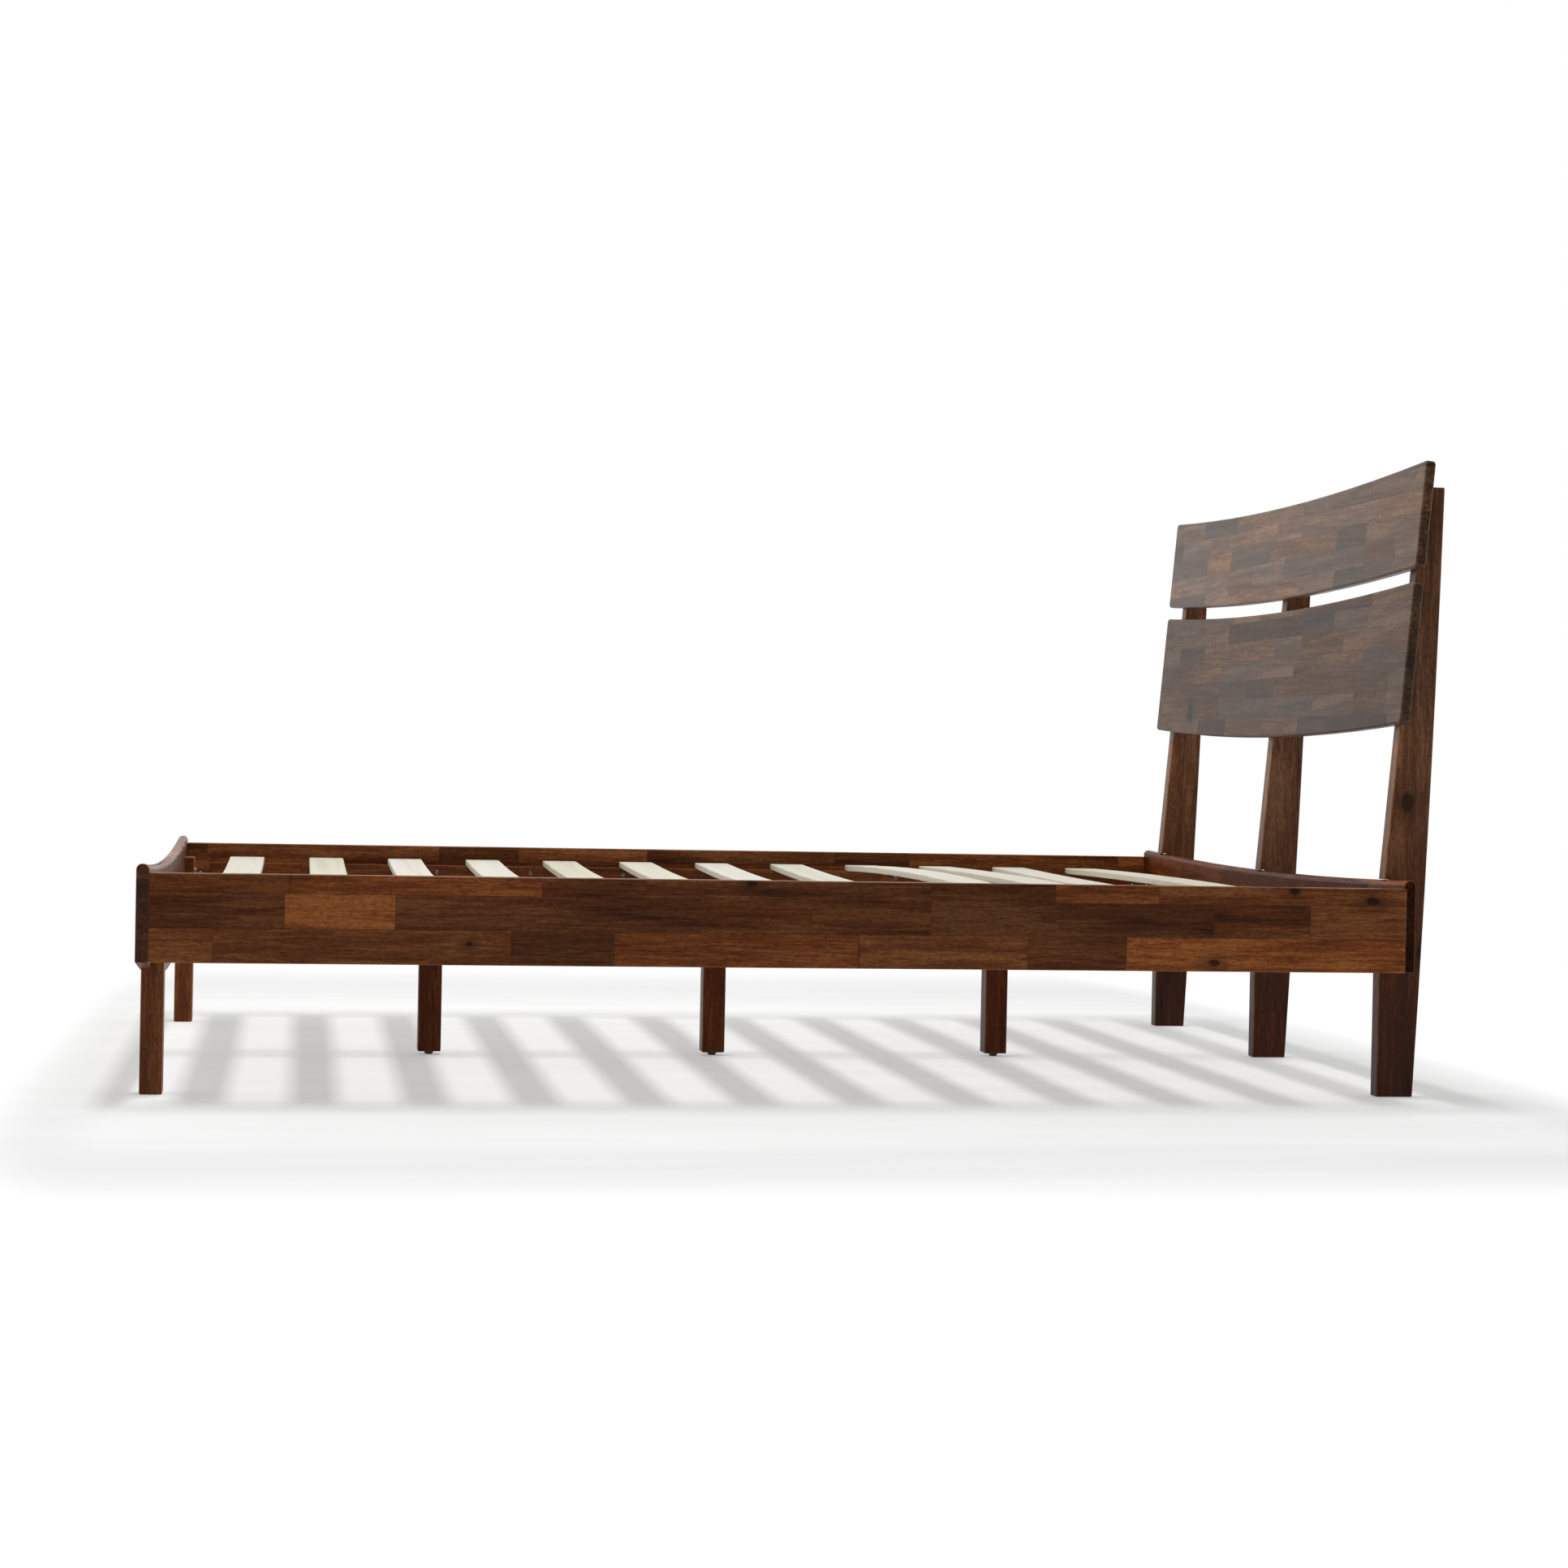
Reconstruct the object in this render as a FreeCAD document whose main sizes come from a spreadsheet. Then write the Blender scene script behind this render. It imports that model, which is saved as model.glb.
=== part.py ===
import FreeCAD, Part
import math
import os
import Sketcher

# Queen platform bed: two side rails, an arched footboard, a head rail and a raked
# headboard of two dipped planks on three posts, with slats, ledges and a centre beam.
# Frame: +X runs from the footboard to the headboard, +Y to the sleeper's right, +Z up.
# The origin is the bottom centre of the whole bed, on the floor. Sizes are millimetres.

Vector = FreeCAD.Vector
Rotation = FreeCAD.Rotation
Placement = FreeCAD.Placement

SIZES = {
    "overall_length": 2160,
    "overall_width": 1584,
    # side rails
    "rail_length": 2045,
    "rail_thickness": 22,
    "rail_bottom": 218,
    "rail_height": 140,
    # footboard and head rail
    "board_thickness": 20,
    "board_bottom": 218,
    "board_top": 372,
    "nose_radius": 9.5,
    "footboard_dip": 21,
    "footboard_arch": 62,
    "headrail_dip": 13,
    "headrail_inset": 11,
    # headboard posts
    "post_width": 30,
    "post_inset": 125.8,
    "post_toe": 11,
    "post_knee": 217,
    "post_foot_trim": 6,
    "post_foot_depth": 64,
    "post_rear_bulge": 3.6,
    "post_height": 1037,
    "notch_clearance": 1,
    "rake_angle": 4.86,
    # headboard planks, measured up the raked posts from their knee
    "plank_length": 1450,
    "plank_thickness": 18,
    "plank_dip": 20,
    "plank_corner": 8,
    "plank_round": 4.5,
    "lower_plank_start": 417.5,
    "lower_plank_height": 240.4,
    "upper_plank_start": 682.5,
    "upper_plank_height": 180.6,
    # foot legs
    "foot_leg_width": 45,
    "foot_leg_inner": 20,
    "foot_leg_outer": 16,
    "foot_leg_inset": 140.5,
    "foot_leg_height": 333,
    # slats and the ledges under their ends
    "slat_width": 70,
    "slat_thickness": 12,
    "slat_length": 1530,
    "slat_first": 122.5,
    "slat_pitch": 161.5,
    "slat_sag": 10,
    "slat_crown": 6,
    "slat_seat": 27,
    "ledge_thickness": 30,
    "ledge_height": 40,
    "ledge_top": 319,
    "ledge_gap": 50,
    # centre beam, its hangers and legs
    "beam_width": 45,
    "beam_height": 70,
    "hanger_plate": 2.5,
    "hanger_reach": 40,
    "hanger_height": 60,
    "hanger_flange": 86,
    "centre_leg_width": 42,
    "first_leg_place": 470,
    "middle_leg_place": 995,
    "last_leg_place": 1533,
    "glide_height": 6,
    "glide_top_radius": 9,
    "glide_bottom_radius": 7,
    "glide_stem_radius": 4,
    "glide_stem_length": 26,
    "glide_travel": 10,
    "glide_clearance": 0.3,
    # corner brackets
    "bracket_reach": 45,
    "bracket_plate": 3,
    "bracket_height": 66,
    "bracket_bottom": 228,
    "bracket_bolt_reach": 27,
    "bracket_bolt_spread": 33,
    # fasteners
    "bolt_radius": 3,
    "bolt_head_radius": 6,
    "bolt_head_height": 4,
    "bracket_bolt_length": 16,
    "leg_bolt_length": 33,
    "leg_bolt_low": 250,
    "leg_bolt_high": 305,
    "post_bolt_length": 48,
    "post_bolt_low": 255,
    "post_bolt_high": 320,
    "screw_radius": 2.25,
    "screw_head_radius": 4.5,
    "screw_head_height": 2.5,
    "ledge_screw_length": 44,
    "ledge_screw_first": 122,
    "ledge_screw_pitch": 195,
    "ledge_screw_height": 305,
    "plank_screw_length": 29,
    "plank_screw_depth": 17,
    "hanger_screw_length": 15,
    "stud_radius": 4,
    "stud_length": 50,
    "well_depth": 60,
    "bore_run_out": 1,
    "well_clearance": 1,
    "bore_clearance": 0.15,
    # roundings of long edges
    "wood_round": 2.5,
    "slat_round": 2.5,
    "steel_round": 1,
}

SLAT_COUNT = 12
# share of the head rail that a post bolt bites into, and where the plank screws sit up a plank
POST_BOLT_BITE = 0.65
PLANK_SCREW_SHARES = (0.25, 0.72)
# how near two places are to count as the same
CLOSE = 0.2
# how far each slat bows down to the beam; a negative bow crowns it
SLAT_BOWS = {
    9: "-2 * Sizes.slat_crown",
    10: "-Sizes.slat_crown",
    11: "Sizes.slat_sag / 2",
    12: "-Sizes.slat_crown",
}
LEDGE_SCREW_COUNT = 10

# Planes and heights of the bed, as expressions of the driving sizes.
FOOT_FACE = "(Sizes.board_thickness - Sizes.overall_length / 2)"
HEAD_FACE = "(Sizes.board_thickness - Sizes.overall_length / 2 + Sizes.rail_length)"
HALF_WIDTH = "(Sizes.overall_width / 2)"
RAIL_INNER = "(Sizes.overall_width / 2 - Sizes.rail_thickness)"
LEDGE_INNER = "(Sizes.overall_width / 2 - Sizes.rail_thickness - Sizes.ledge_thickness)"
POST_FRONT = "(%s - Sizes.post_toe)" % HEAD_FACE
POST_PLACE = "(Sizes.overall_width / 2 - Sizes.post_inset)"
LEG_PLACE = "(Sizes.overall_width / 2 - Sizes.foot_leg_inset)"
BEAM_TOP = "(Sizes.ledge_top - Sizes.slat_sag)"
BEAM_BOTTOM = "(Sizes.ledge_top - Sizes.slat_sag - Sizes.beam_height)"
BRACKET_MIDDLE = "(Sizes.bracket_bottom + Sizes.bracket_height / 2)"

os.makedirs("parts", exist_ok=True)
doc = FreeCAD.newDocument("PlatformBed")
sheet = doc.addObject("Spreadsheet::Sheet", "Sizes")
for row, (alias, number) in enumerate(SIZES.items(), start=1):
    sheet.set("A%d" % row, str(number))
    sheet.setAlias("A%d" % row, alias)
doc.recompute()

pieces = []


def value(expression):
    """The number that an expression of the sheet's sizes comes to."""
    found = sheet.evalExpression(expression.replace("Sizes.", ""))
    return float(getattr(found, "Value", found))


def keep(piece):
    """Mark an object as one of the bed's pieces, named by its label."""
    pieces.append(piece)
    return piece


def new_body(name):
    """An empty body with its own origin planes."""
    return doc.addObject("PartDesign::Body", name)


def place(piece, along, across, up):
    """Bind the place of a piece to three expressions."""
    piece.setExpression("Placement.Base.x", along)
    piece.setExpression("Placement.Base.y", across)
    piece.setExpression("Placement.Base.z", up)


def bulge_radius(start, end, bulge):
    """Radius of the arc over a chord that stands off its middle by the bulge."""
    chord = (end - start).Length
    return (chord * chord / 4 + bulge * bulge) / (2 * abs(bulge))


def outline(body, name, plane_role, corners, bulges=None):
    """Draw a closed outline on one of the body's planes and bind every corner.

    A side named in bulges is an arc: its middle stands off the chord, to the right
    of the direction of travel when the bulge is positive.
    """
    bulges = bulges or {}
    plane = next(item for item in body.Origin.OriginFeatures if item.Role == plane_role)
    sketch = body.newObject("Sketcher::SketchObject", name)
    sketch.AttachmentSupport = [(plane, "")]
    sketch.MapMode = "FlatFace"
    points = [Vector(value(across), value(up), 0) for across, up in corners]
    count = len(points)
    starts = {}
    for side in range(count):
        start = points[side]
        end = points[(side + 1) % count]
        if side in bulges:
            bulge = value(bulges[side])
            chord = end - start
            normal = Vector(chord.y, -chord.x, 0)
            normal.normalize()
            middle = (start + end) * 0.5 + normal * bulge
            sketch.addGeometry(Part.Arc(start, middle, end), False)
            starts[side] = 1 if (sketch.getPoint(side, 1) - start).Length < chord.Length / 2 else 2
        else:
            sketch.addGeometry(Part.LineSegment(start, end), False)
            starts[side] = 1
    for side in range(count):
        following = (side + 1) % count
        last = 3 - starts[side]
        sketch.addConstraint(Sketcher.Constraint("Coincident", side, last, following, starts[following]))
    for side, (across, up) in enumerate(corners):
        distances = (("DistanceX", across, points[side].x), ("DistanceY", up, points[side].y))
        for kind, expression, number in distances:
            held = sketch.addConstraint(Sketcher.Constraint(kind, -1, 1, side, starts[side], number))
            sketch.setExpression("Constraints[%d]" % held, expression)
    for side, bulge in bulges.items():
        radius = bulge_radius(points[side], points[(side + 1) % count], value(bulge))
        sketch.addConstraint(Sketcher.Constraint("Radius", side, radius))
    return sketch


def pad(body, sketch, name, length, centred=False):
    """Thicken an outline; centred pads go both ways from the plane."""
    feature = body.newObject("PartDesign::Pad", name)
    feature.Profile = sketch
    feature.setExpression("Length", length)
    feature.Midplane = centred
    doc.recompute()
    return feature


def round_edges(body, name, radius, wanted):
    """Round the edges of the body's tip whose middle point passes the test."""
    tip = body.Tip
    names = []
    for number, edge in enumerate(tip.Shape.Edges, start=1):
        middle = edge.valueAt((edge.FirstParameter + edge.LastParameter) / 2)
        if wanted(edge, middle):
            names.append("Edge%d" % number)
    feature = body.newObject("PartDesign::Fillet", name)
    feature.Base = (tip, names)
    feature.setExpression("Radius", radius)
    doc.recompute()
    return feature


def every_edge(edge, middle):
    """A test that every edge passes."""
    return True


def runs_along(axis):
    """A test for straight edges parallel to an axis."""
    def test(edge, middle):
        ends = edge.Vertexes[-1].Point - edge.Vertexes[0].Point
        return ends.Length > 0 and abs(abs(ends.dot(axis)) - ends.Length) < 1e-4
    return test


def bar(name, across, up, length, radius, start="0"):
    """A straight bar along X: its section spans the pairs across and up."""
    body = new_body(name)
    corners = [(across[0], up[0]), (across[1], up[0]), (across[1], up[1]), (across[0], up[1])]
    section = outline(body, name + "_section", "YZ_Plane", corners)
    pad(body, section, name + "_bar", length)
    round_edges(body, name + "_rounded", radius, every_edge)
    body.setExpression("Placement.Base.x", start)
    return body


def post_block(name, along, across, up, radius):
    """An upright rectangular leg that spans the pairs along, across and up."""
    body = new_body(name)
    corners = [(along[0], across[0]), (along[1], across[0]), (along[1], across[1]), (along[0], across[1])]
    section = outline(body, name + "_section", "XY_Plane", corners)
    pad(body, section, name + "_height", "%s - %s" % (up[1], up[0]))
    round_edges(body, name + "_rounded", radius, every_edge)
    body.setExpression("Placement.Base.z", up[0])
    return body


# ---------------------------------------------------------------- fasteners and bores

def cylinder(name, radius, height, lift="0"):
    """A cylinder on the Z axis whose foot is at the height lift."""
    shape = doc.addObject("Part::Cylinder", name)
    shape.setExpression("Radius", radius)
    shape.setExpression("Height", height)
    shape.setExpression("Placement.Base.z", lift)
    return shape


def fused(name, first, second):
    """Two primitives joined in one solid."""
    joined = doc.addObject("Part::Fuse", name)
    joined.Base = first
    joined.Tool = second
    return joined


def pattern_fastener(name, kind, length):
    """One fastener: seat at the origin, shank up +Z and head below."""
    head_height = kind + "_head_height"
    shank = cylinder(name + "_shank", kind + "_radius", length)
    head = cylinder(name + "_head", kind + "_head_radius", head_height, "-" + head_height)
    return fused(name, shank, head)


def pattern_bore(name, kind, length, sunk=False):
    """The hole for one fastener, with an open well behind it when the head is sunk."""
    hole_radius = kind + "_radius + Sizes.bore_clearance"
    hole = cylinder(name + "_hole", hole_radius, length + " + Sizes.bore_run_out")
    if not sunk:
        return hole
    well_radius = kind + "_head_radius + Sizes.well_clearance"
    well = cylinder(name + "_well", well_radius, "Sizes.well_depth", "-Sizes.well_depth")
    return fused(name, hole, well)


def copies(name, pattern, seats):
    """One object that holds a copy of the pattern at each seat (point, direction)."""
    group = doc.addObject("Part::Feature", name)
    doc.recompute()
    solids = []
    for point, direction in seats:
        solid = pattern.Shape.copy()
        solid.Placement = Placement(point, Rotation(Vector(0, 0, 1), direction)).multiply(solid.Placement)
        solids.append(solid)
    group.Shape = Part.makeCompound(solids)
    return group


def drilled(name, blank, tools):
    """A piece cut by one or more groups of bores."""
    if len(tools) == 1:
        tool = tools[0]
    else:
        tool = doc.addObject("Part::Compound", name + "_bores")
        tool.Links = tools
    cut = doc.addObject("Part::Cut", name)
    cut.Base = blank
    cut.Tool = tool
    return cut


half_width = value(HALF_WIDTH)
foot_face = value(FOOT_FACE)
head_face = value(HEAD_FACE)
rail_inner = value(RAIL_INNER)
rake = math.radians(value("Sizes.rake_angle"))

# The raked frame of the headboard: its origin is at the posts' knee, on their front edge.
RAKED = Placement(
    Vector(value(POST_FRONT), 0, value("Sizes.post_knee")),
    Rotation(Vector(0, 1, 0), value("Sizes.rake_angle")),
)


def bracket_seats():
    """Seats of the bolts through the four corner brackets."""
    seats = []
    plate = value("Sizes.bracket_plate")
    reach = value("Sizes.bracket_bolt_reach")
    spread = value("Sizes.bracket_bolt_spread")
    for end_face, inward in ((foot_face, 1), (head_face, -1)):
        for side in (-1, 1):
            for height in (value(BRACKET_MIDDLE) - spread, value(BRACKET_MIDDLE) + spread):
                on_rail = Vector(end_face + inward * reach, side * (rail_inner - plate), height)
                seats.append((on_rail, Vector(0, side, 0)))
                on_board = Vector(end_face + inward * plate, side * (rail_inner - reach), height)
                seats.append((on_board, Vector(-inward, 0, 0)))
    return seats


def ledge_seats(side):
    """Seats of the screws through one ledge."""
    first = foot_face + value("Sizes.ledge_screw_first")
    pitch = value("Sizes.ledge_screw_pitch")
    face = side * value(LEDGE_INNER)
    height = value("Sizes.ledge_screw_height")
    return [
        (Vector(first + pitch * number, face, height), Vector(0, side, 0))
        for number in range(LEDGE_SCREW_COUNT)
    ]


def leg_bolt_seats():
    """Seats of the bolts through the foot legs into the footboard."""
    face = foot_face + value("Sizes.foot_leg_inner")
    heights = (value("Sizes.leg_bolt_low"), value("Sizes.leg_bolt_high"))
    return [
        (Vector(face, side * value(LEG_PLACE), height), Vector(-1, 0, 0))
        for side in (-1, 1)
        for height in heights
    ]


def post_bolt_seats():
    """Seats of the bolts through the posts into the head rail."""
    back = head_face + value("Sizes.board_thickness")
    grip = value("Sizes.post_bolt_length") - POST_BOLT_BITE * value("Sizes.board_thickness")
    heights = (value("Sizes.post_bolt_low"), value("Sizes.post_bolt_high"))
    return [
        (Vector(back + grip, side * value(POST_PLACE), height), Vector(-1, 0, 0))
        for side in (-1, 0, 1)
        for height in heights
    ]


def plank_screw_seats():
    """Seats of the screws through the posts into the planks, in the raked frame."""
    seats = []
    half_length = value("Sizes.plank_length") / 2
    for plank in ("lower", "upper"):
        start = value("Sizes.%s_plank_start" % plank)
        height = value("Sizes.%s_plank_height" % plank)
        for side in (-1, 0, 1):
            across = side * value(POST_PLACE)
            dip = value("Sizes.plank_dip") * (1 - (across / half_length) ** 2)
            for share in PLANK_SCREW_SHARES:
                local = Vector(value("Sizes.plank_screw_depth"), across, start + height * share - dip)
                point = RAKED.multVec(local)
                seats.append((point, RAKED.Rotation.multVec(Vector(-1, 0, 0))))
    return seats


def hanger_seats():
    """Seats of the screws through the flanges of the beam hangers."""
    plate = value("Sizes.hanger_plate")
    across = (value("Sizes.hanger_flange") + value("Sizes.beam_width")) / 4 + plate / 2
    height = value(BEAM_TOP) - value("Sizes.hanger_height") / 2
    seats = []
    for end_face, inward in ((foot_face, 1), (head_face, -1)):
        for side in (-1, 1):
            seat = Vector(end_face + inward * plate, side * across, height)
            seats.append((seat, Vector(-inward, 0, 0)))
    return seats


def leg_places():
    """Where the centre legs stand along the bed."""
    return [foot_face + value("Sizes.%s_leg_place" % order) for order in ("first", "middle", "last")]


bracket_bolt = pattern_fastener("bracket_bolt", "Sizes.bolt", "Sizes.bracket_bolt_length")
leg_bolt = pattern_fastener("leg_bolt", "Sizes.bolt", "Sizes.leg_bolt_length")
post_bolt = pattern_fastener("post_bolt", "Sizes.bolt", "Sizes.post_bolt_length")
ledge_screw = pattern_fastener("ledge_screw", "Sizes.screw", "Sizes.ledge_screw_length")
plank_screw = pattern_fastener("plank_screw", "Sizes.screw", "Sizes.plank_screw_length")
hanger_screw = pattern_fastener("hanger_screw", "Sizes.screw", "Sizes.hanger_screw_length")
leg_stud = cylinder("leg_stud", "Sizes.stud_radius", "Sizes.stud_length")

bracket_bore = pattern_bore("bracket_bore", "Sizes.bolt", "Sizes.bracket_bolt_length")
leg_bore = pattern_bore("leg_bore", "Sizes.bolt", "Sizes.leg_bolt_length")
post_bore = pattern_bore("post_bore", "Sizes.bolt", "Sizes.post_bolt_length", sunk=True)
ledge_bore = pattern_bore("ledge_bore", "Sizes.screw", "Sizes.ledge_screw_length")
plank_bore = pattern_bore("plank_bore", "Sizes.screw", "Sizes.plank_screw_length", sunk=True)
hanger_bore = pattern_bore("hanger_bore", "Sizes.screw", "Sizes.hanger_screw_length")
stud_bore = cylinder(
    "stud_bore",
    "Sizes.stud_radius + Sizes.bore_clearance",
    "Sizes.stud_length + 2 * Sizes.bore_run_out",
)
glide_bore = cylinder(
    "glide_bore",
    "Sizes.glide_stem_radius + Sizes.glide_clearance",
    "Sizes.glide_stem_length + Sizes.glide_travel",
)

UP = Vector(0, 0, 1)
stud_foot = value(BEAM_BOTTOM) - value("Sizes.stud_length") / 2
stud_seats = [(Vector(along, 0, stud_foot), UP) for along in leg_places()]
stud_bore_seats = [(Vector(along, 0, stud_foot - 1), UP) for along in leg_places()]
glide_bore_seats = [(Vector(along, 0, value("Sizes.glide_height")), UP) for along in leg_places()]

keep(copies("corner_bolts", bracket_bolt, bracket_seats()))
keep(copies("leg_bolts", leg_bolt, leg_bolt_seats()))
keep(copies("post_bolts", post_bolt, post_bolt_seats()))
keep(copies("ledge_screws_left", ledge_screw, ledge_seats(-1)))
keep(copies("ledge_screws_right", ledge_screw, ledge_seats(1)))
keep(copies("plank_screws", plank_screw, plank_screw_seats()))
keep(copies("hanger_screws", hanger_screw, hanger_seats()))
keep(copies("leg_studs", leg_stud, stud_seats))

corner_bores = copies("corner_bores", bracket_bore, bracket_seats())
leg_bores = copies("leg_bores", leg_bore, leg_bolt_seats())
post_bores = copies("post_bores", post_bore, post_bolt_seats())
ledge_bores = {side: copies("ledge_bores", ledge_bore, ledge_seats(side)) for side in (-1, 1)}
plank_bores = copies("plank_bores", plank_bore, plank_screw_seats())
hanger_bores = copies("hanger_bores", hanger_bore, hanger_seats())
stud_bores = copies("stud_bores", stud_bore, stud_bore_seats)
glide_bores = copies("glide_bores", glide_bore, glide_bore_seats)

SIDES = (("left", -1), ("right", 1))


# ---------------------------------------------------------------- rails and cross boards

def side_rail(label, side):
    """A plain board that runs from the footboard to the head rail."""
    outer = "%d * %s" % (side, HALF_WIDTH)
    inner = "%d * %s" % (side, RAIL_INNER)
    top = "(Sizes.rail_bottom + Sizes.rail_height)"
    blank = bar(
        "side_rail_%s_blank" % label,
        (outer, inner),
        ("Sizes.rail_bottom", top),
        "Sizes.rail_length",
        "Sizes.wood_round",
        FOOT_FACE,
    )
    return keep(drilled("side_rail_" + label, blank, [corner_bores, ledge_bores[side]]))


def cross_board(name, half, bulges, start):
    """A board across the bed with a bull-nose along its dipped top edge."""
    body = new_body(name)
    corners = [
        ("-" + half, "Sizes.board_bottom"),
        (half, "Sizes.board_bottom"),
        (half, "Sizes.board_top"),
        ("-" + half, "Sizes.board_top"),
    ]
    face = outline(body, name + "_face", "YZ_Plane", corners, bulges)
    pad(body, face, name + "_board", "Sizes.board_thickness")
    middle_height = value("(Sizes.board_bottom + Sizes.board_top) / 2")
    thickness = value("Sizes.board_thickness")

    def is_top_edge(edge, middle):
        on_face = middle.x < CLOSE or middle.x > thickness - CLOSE
        return middle.z > middle_height and on_face and edge.Length > value(half)

    round_edges(body, name + "_nose", "Sizes.nose_radius", is_top_edge)

    def is_sharp_edge(edge, middle):
        at_end = abs(abs(middle.y) - value(half)) < 0.1
        below = middle.z < middle_height and edge.Length > value(half)
        return at_end or below

    round_edges(body, name + "_rounded", "Sizes.wood_round", is_sharp_edge)
    body.setExpression("Placement.Base.x", start)
    return body


def footboard():
    """The board at the foot: its bottom edge hangs in an arc and its top edge dips."""
    bulges = {0: "Sizes.footboard_arch", 2: "-Sizes.footboard_dip"}
    blank = cross_board("footboard_blank", HALF_WIDTH, bulges, "-Sizes.overall_length / 2")
    return keep(drilled("footboard", blank, [corner_bores, leg_bores, hanger_bores]))


def head_rail():
    """The straight-bottomed board at the head, let into the fronts of the posts."""
    half = "(Sizes.overall_width / 2 - Sizes.headrail_inset)"
    blank = cross_board("head_rail_blank", half, {2: "-Sizes.headrail_dip"}, HEAD_FACE)
    return keep(drilled("head_rail", blank, [corner_bores, post_bores, hanger_bores]))


# ---------------------------------------------------------------- legs and posts

def arch_cutter():
    """A disc as thick as the footboard whose rim is the arch of its bottom edge."""
    radius = "((%s ^ 2 + Sizes.footboard_arch ^ 2) / (2 * Sizes.footboard_arch))" % HALF_WIDTH
    cutter = doc.addObject("Part::Cylinder", "arch_cutter")
    cutter.setExpression("Radius", radius)
    cutter.setExpression("Height", "Sizes.board_thickness")
    cutter.Placement.Rotation = Rotation(Vector(0, 1, 0), 90)
    place(
        cutter,
        "-Sizes.overall_length / 2",
        "0",
        "Sizes.board_bottom - Sizes.footboard_arch + %s" % radius,
    )
    return cutter


def foot_leg(label, side, cutter):
    """A leg whose outer half stops under the footboard and inner half rises behind it."""
    across = "%d * %s" % (side, LEG_PLACE)
    blank = post_block(
        "foot_leg_%s_block" % label,
        (FOOT_FACE + " - Sizes.foot_leg_outer", FOOT_FACE + " + Sizes.foot_leg_inner"),
        (across + " - Sizes.foot_leg_width / 2", across + " + Sizes.foot_leg_width / 2"),
        ("0", "Sizes.foot_leg_height"),
        "Sizes.wood_round",
    )
    housed = doc.addObject("Part::Cut", "foot_leg_%s_housed" % label)
    housed.Base = blank
    housed.Tool = cutter
    return keep(drilled("foot_leg_" + label, housed, [leg_bores]))


def head_post(label, side):
    """A post: straight to its knee, notched for the head rail, then raked back."""
    name = "head_post_" + label
    body = new_body(name + "_blank")
    back = "(%s + Sizes.board_thickness)" % HEAD_FACE
    foot_front = "(%s + Sizes.post_foot_trim)" % POST_FRONT
    rise = value("Sizes.overall_width") / 2 - value("Sizes.headrail_inset")
    dip = value("Sizes.headrail_dip") * (1 - (side * value(POST_PLACE) / rise) ** 2)
    notch_top = "(Sizes.board_top - %.3f + Sizes.notch_clearance)" % dip
    front_at = "(%s + tan(Sizes.rake_angle * 1 deg) * (%%s - Sizes.post_knee))" % POST_FRONT
    corners = [
        (foot_front, "0"),
        (foot_front + " + Sizes.post_foot_depth", "0"),
        ("Sizes.overall_length / 2", "Sizes.post_height"),
        (front_at % "Sizes.post_height", "Sizes.post_height"),
        (front_at % notch_top, notch_top),
        (back, notch_top),
        (back, "Sizes.rail_bottom"),
        (foot_front, "Sizes.rail_bottom"),
    ]
    side_view = outline(body, name + "_side", "XZ_Plane", corners, {1: "Sizes.post_rear_bulge"})
    pad(body, side_view, name + "_thickness", "Sizes.post_width", centred=True)
    notch_low = value("Sizes.rail_bottom")
    notch_high = value(notch_top)
    notch_back = value(back)

    def outside_notch(edge, middle):
        within = notch_low - CLOSE < middle.z < notch_high + CLOSE
        in_notch = within and middle.x < notch_back + CLOSE
        return not in_notch

    round_edges(body, name + "_rounded", "Sizes.wood_round", outside_notch)
    body.setExpression("Placement.Base.y", "%d * %s" % (side, POST_PLACE))
    return keep(drilled(name, body, [post_bores, plank_bores]))


# ---------------------------------------------------------------- headboard planks

def headboard_plank(level):
    """A plank dipped along its length, lying on the raked fronts of the posts."""
    name = "headboard_plank_" + level
    body = new_body(name + "_blank")
    half = "(Sizes.plank_length / 2)"
    low = "Sizes.%s_plank_start" % level
    high = "(%s + Sizes.%s_plank_height)" % (low, level)
    corners = [("-" + half, low), (half, low), (half, high), ("-" + half, high)]
    bulges = {0: "Sizes.plank_dip", 2: "-Sizes.plank_dip"}
    face = outline(body, name + "_face", "YZ_Plane", corners, bulges)
    board = pad(body, face, name + "_board", "Sizes.plank_thickness")
    board.Reversed = True
    doc.recompute()
    round_edges(body, name + "_corners", "Sizes.plank_corner", runs_along(Vector(1, 0, 0)))
    back_or_front = (0, -value("Sizes.plank_thickness"))

    def on_a_face(edge, middle):
        return min(abs(middle.x - face_place) for face_place in back_or_front) < 0.1

    round_edges(body, name + "_rounded", "Sizes.plank_round", on_a_face)
    body.Placement = RAKED
    return keep(drilled(name, body, [plank_bores]))


# ---------------------------------------------------------------- slats and ledges

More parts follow.
